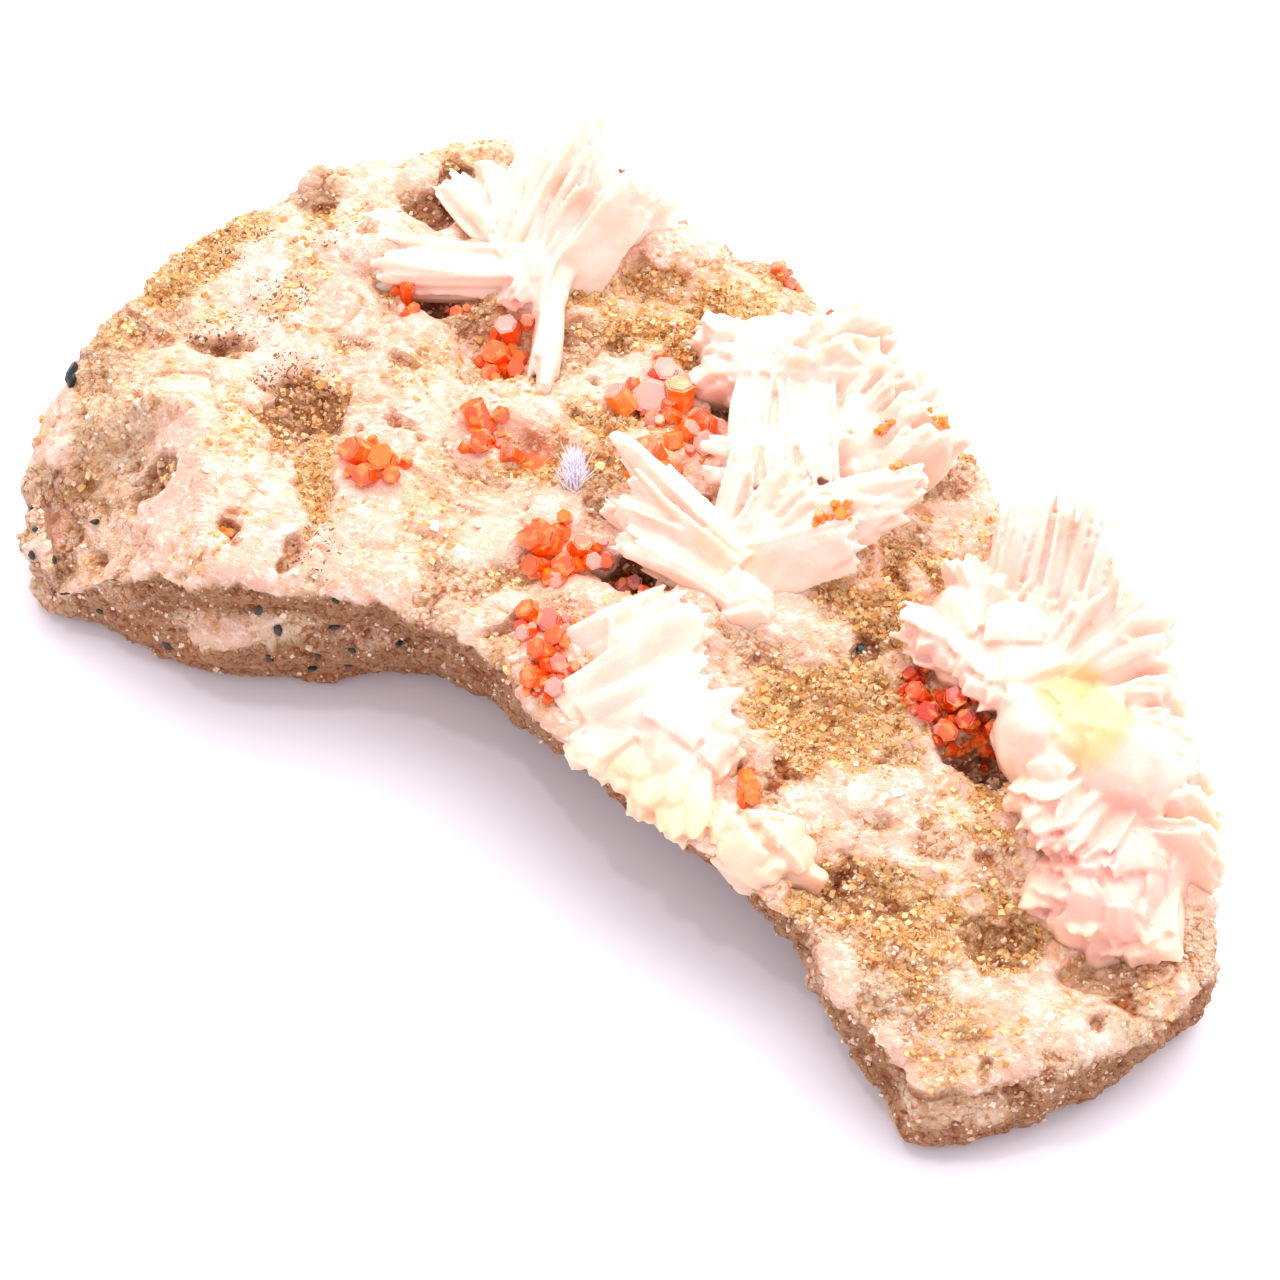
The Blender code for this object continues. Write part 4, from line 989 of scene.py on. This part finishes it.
def make_tuft(tree, material):
    """A tuft of fine pale needles that radiate from one root."""
    deselect()
    bpy.ops.mesh.primitive_cone_add(vertices=5, radius1=1.0, radius2=0.15, depth=1.0)
    master = take_shape(bpy.context.object)
    rng = random.Random(31)
    x, y, length = TUFT
    base = surface_point(tree, x, y)
    copies = []
    for _ in range(NEEDLES):
        turn = rng.uniform(0, math.tau)
        lean = rng.uniform(0.0, 0.7)
        axis = Vector((lean * math.cos(turn), lean * math.sin(turn), 1.0)).normalized()
        size = length * rng.uniform(0.30, 0.85)
        spread = rng.uniform(-1.0, 1.0)
        across, along = rng.uniform(-0.5, 0.5), rng.uniform(-0.5, 0.5)
        foot = base + np.array((across - 0.6 * spread, along + 0.9 * spread, -0.2))
        copies.append(lay_prism(master, foot + np.array(axis) * size / 2, axis, rng.uniform(0.04, 0.09),
                                size, rng.uniform(0, 1), rng.random()))
    finish_piece(join_copies("needle_tuft", copies), "pale_needles", material, "pale_tuft")


# ---------------------------------------------------------------- studio

# A wide soft lamp, and a small one that glints on crystal faces: name, size, watts and place, in metres
LAMPS = (("key", 0.90, 5.5, (-0.07, 0.32, 0.33)), ("spark", 0.03, 0.24, (-0.12, -0.04, 0.46)))
ROOM_COLOUR, ROOM_LIGHT = "#FCFBFF", 1.14        # white all round, which leaves only faint shadows
CARD_COLOUR, CARD_SIZE = "#ECE6EE", 4.0


def make_floor():
    """The white card that the specimen lies on."""
    deselect()
    bpy.ops.mesh.primitive_plane_add(size=CARD_SIZE, location=(0.0, 0.0, 0.0))
    floor = bpy.context.object
    floor.name = "studio_floor"
    material, _, shader, _, _ = start_material("white_card")
    shader.inputs["Base Color"].default_value = linear(CARD_COLOUR)
    shader.inputs["Roughness"].default_value = 0.9
    shader.inputs["Specular IOR Level"].default_value = 0.1
    floor.data.materials.append(material)


def make_lights():
    """White light from all round, and the two lamps."""
    world = bpy.data.worlds.new("studio")
    bpy.context.scene.world = world
    world.use_nodes = True
    background = world.node_tree.nodes["Background"]
    background.inputs["Color"].default_value = linear(ROOM_COLOUR)
    background.inputs["Strength"].default_value = ROOM_LIGHT
    for name, size, energy, location in LAMPS:
        light = bpy.data.lights.new(name, 'AREA')
        light.shape = 'DISK'
        light.size = size
        light.energy = energy
        lamp = bpy.data.objects.new(name, light)
        lamp.location = location
        lamp.rotation_euler = Vector(location).to_track_quat('Z', 'Y').to_euler()
        bpy.context.scene.collection.objects.link(lamp)
    bpy.context.scene.view_settings.view_transform = 'Standard'


def make_camera():
    """A long lens that looks down at AIM."""
    a, e = math.radians(CAMERA_AZIMUTH), math.radians(CAMERA_ELEVATION)
    back = Vector((math.sin(a) * math.cos(e), -math.cos(a) * math.cos(e), math.sin(e)))
    camera = bpy.data.cameras.new("camera")
    camera.lens = LENS
    camera.sensor_width = SENSOR
    camera.clip_start = 0.01
    obj = bpy.data.objects.new("camera", camera)
    obj.location = Vector(AIM * MM) + back * (FIELD * LENS / SENSOR * MM)
    obj.rotation_euler = back.to_track_quat('Z', 'Y').to_euler()
    bpy.context.scene.collection.objects.link(obj)
    bpy.context.scene.camera = obj


# ---------------------------------------------------------------- build

make_camera()
make_lights()
make_floor()
rock = make_rock()
finish_piece(rock, "rock", rock_material(), "matrix")
tree = BVHTree.FromObject(rock, bpy.context.evaluated_depsgraph_get())
white = barite_material()
blade, scale = sheet_master(8, 12), sheet_master(4, 4)
crests = {name: make_crest(name, parts, blade, scale, white, 40 + number)
          for number, (name, parts) in enumerate(BARITE.items())}
crest_tree = BVHTree.FromObject(crests["barite_middle_crest"], bpy.context.evaluated_depsgraph_get())
make_scales(rock, sheet_master(3, 3), grain_material("crust_barite", "#F2D6CA", "#E8BEAC", 0.5))
crumb = grain_material("limonite_crumb", "#EECA94", "#CE904E", 0.85)
make_grains("ochre_crumbs", rock, ("ochre", 0.40, 1.0, 0.0, GRAINS), (0.08, 0.34), crumb, "rock", 61)
sugar = grain_material("dolomite_grain", "#F0D2BE", "#D4A484", 0.7)
make_grains("dolomite_grains", rock, ("crust", 0.0, 0.40, -0.1, GRAINS), (0.07, 0.26), sugar, "rock", 62)
make_specks(tree, grain_material("manganese_speck", "#171C1F", "#2C3230", 0.3))
red = vanadinite_material()
prism = crystal_master()
for number, (name, (crystals, small, tone, painted_highlight_share)) in enumerate(VANADINITE.items()):
    seat = crest_tree if name in ON_BARITE else tree
    make_vanadinite(seat, prism, red, name, crystals, small, tone, painted_highlight_share, 100 + number)
make_tuft(tree, grain_material("pale_needles", "#FFFFFF", "#EEEBFC", 0.4))
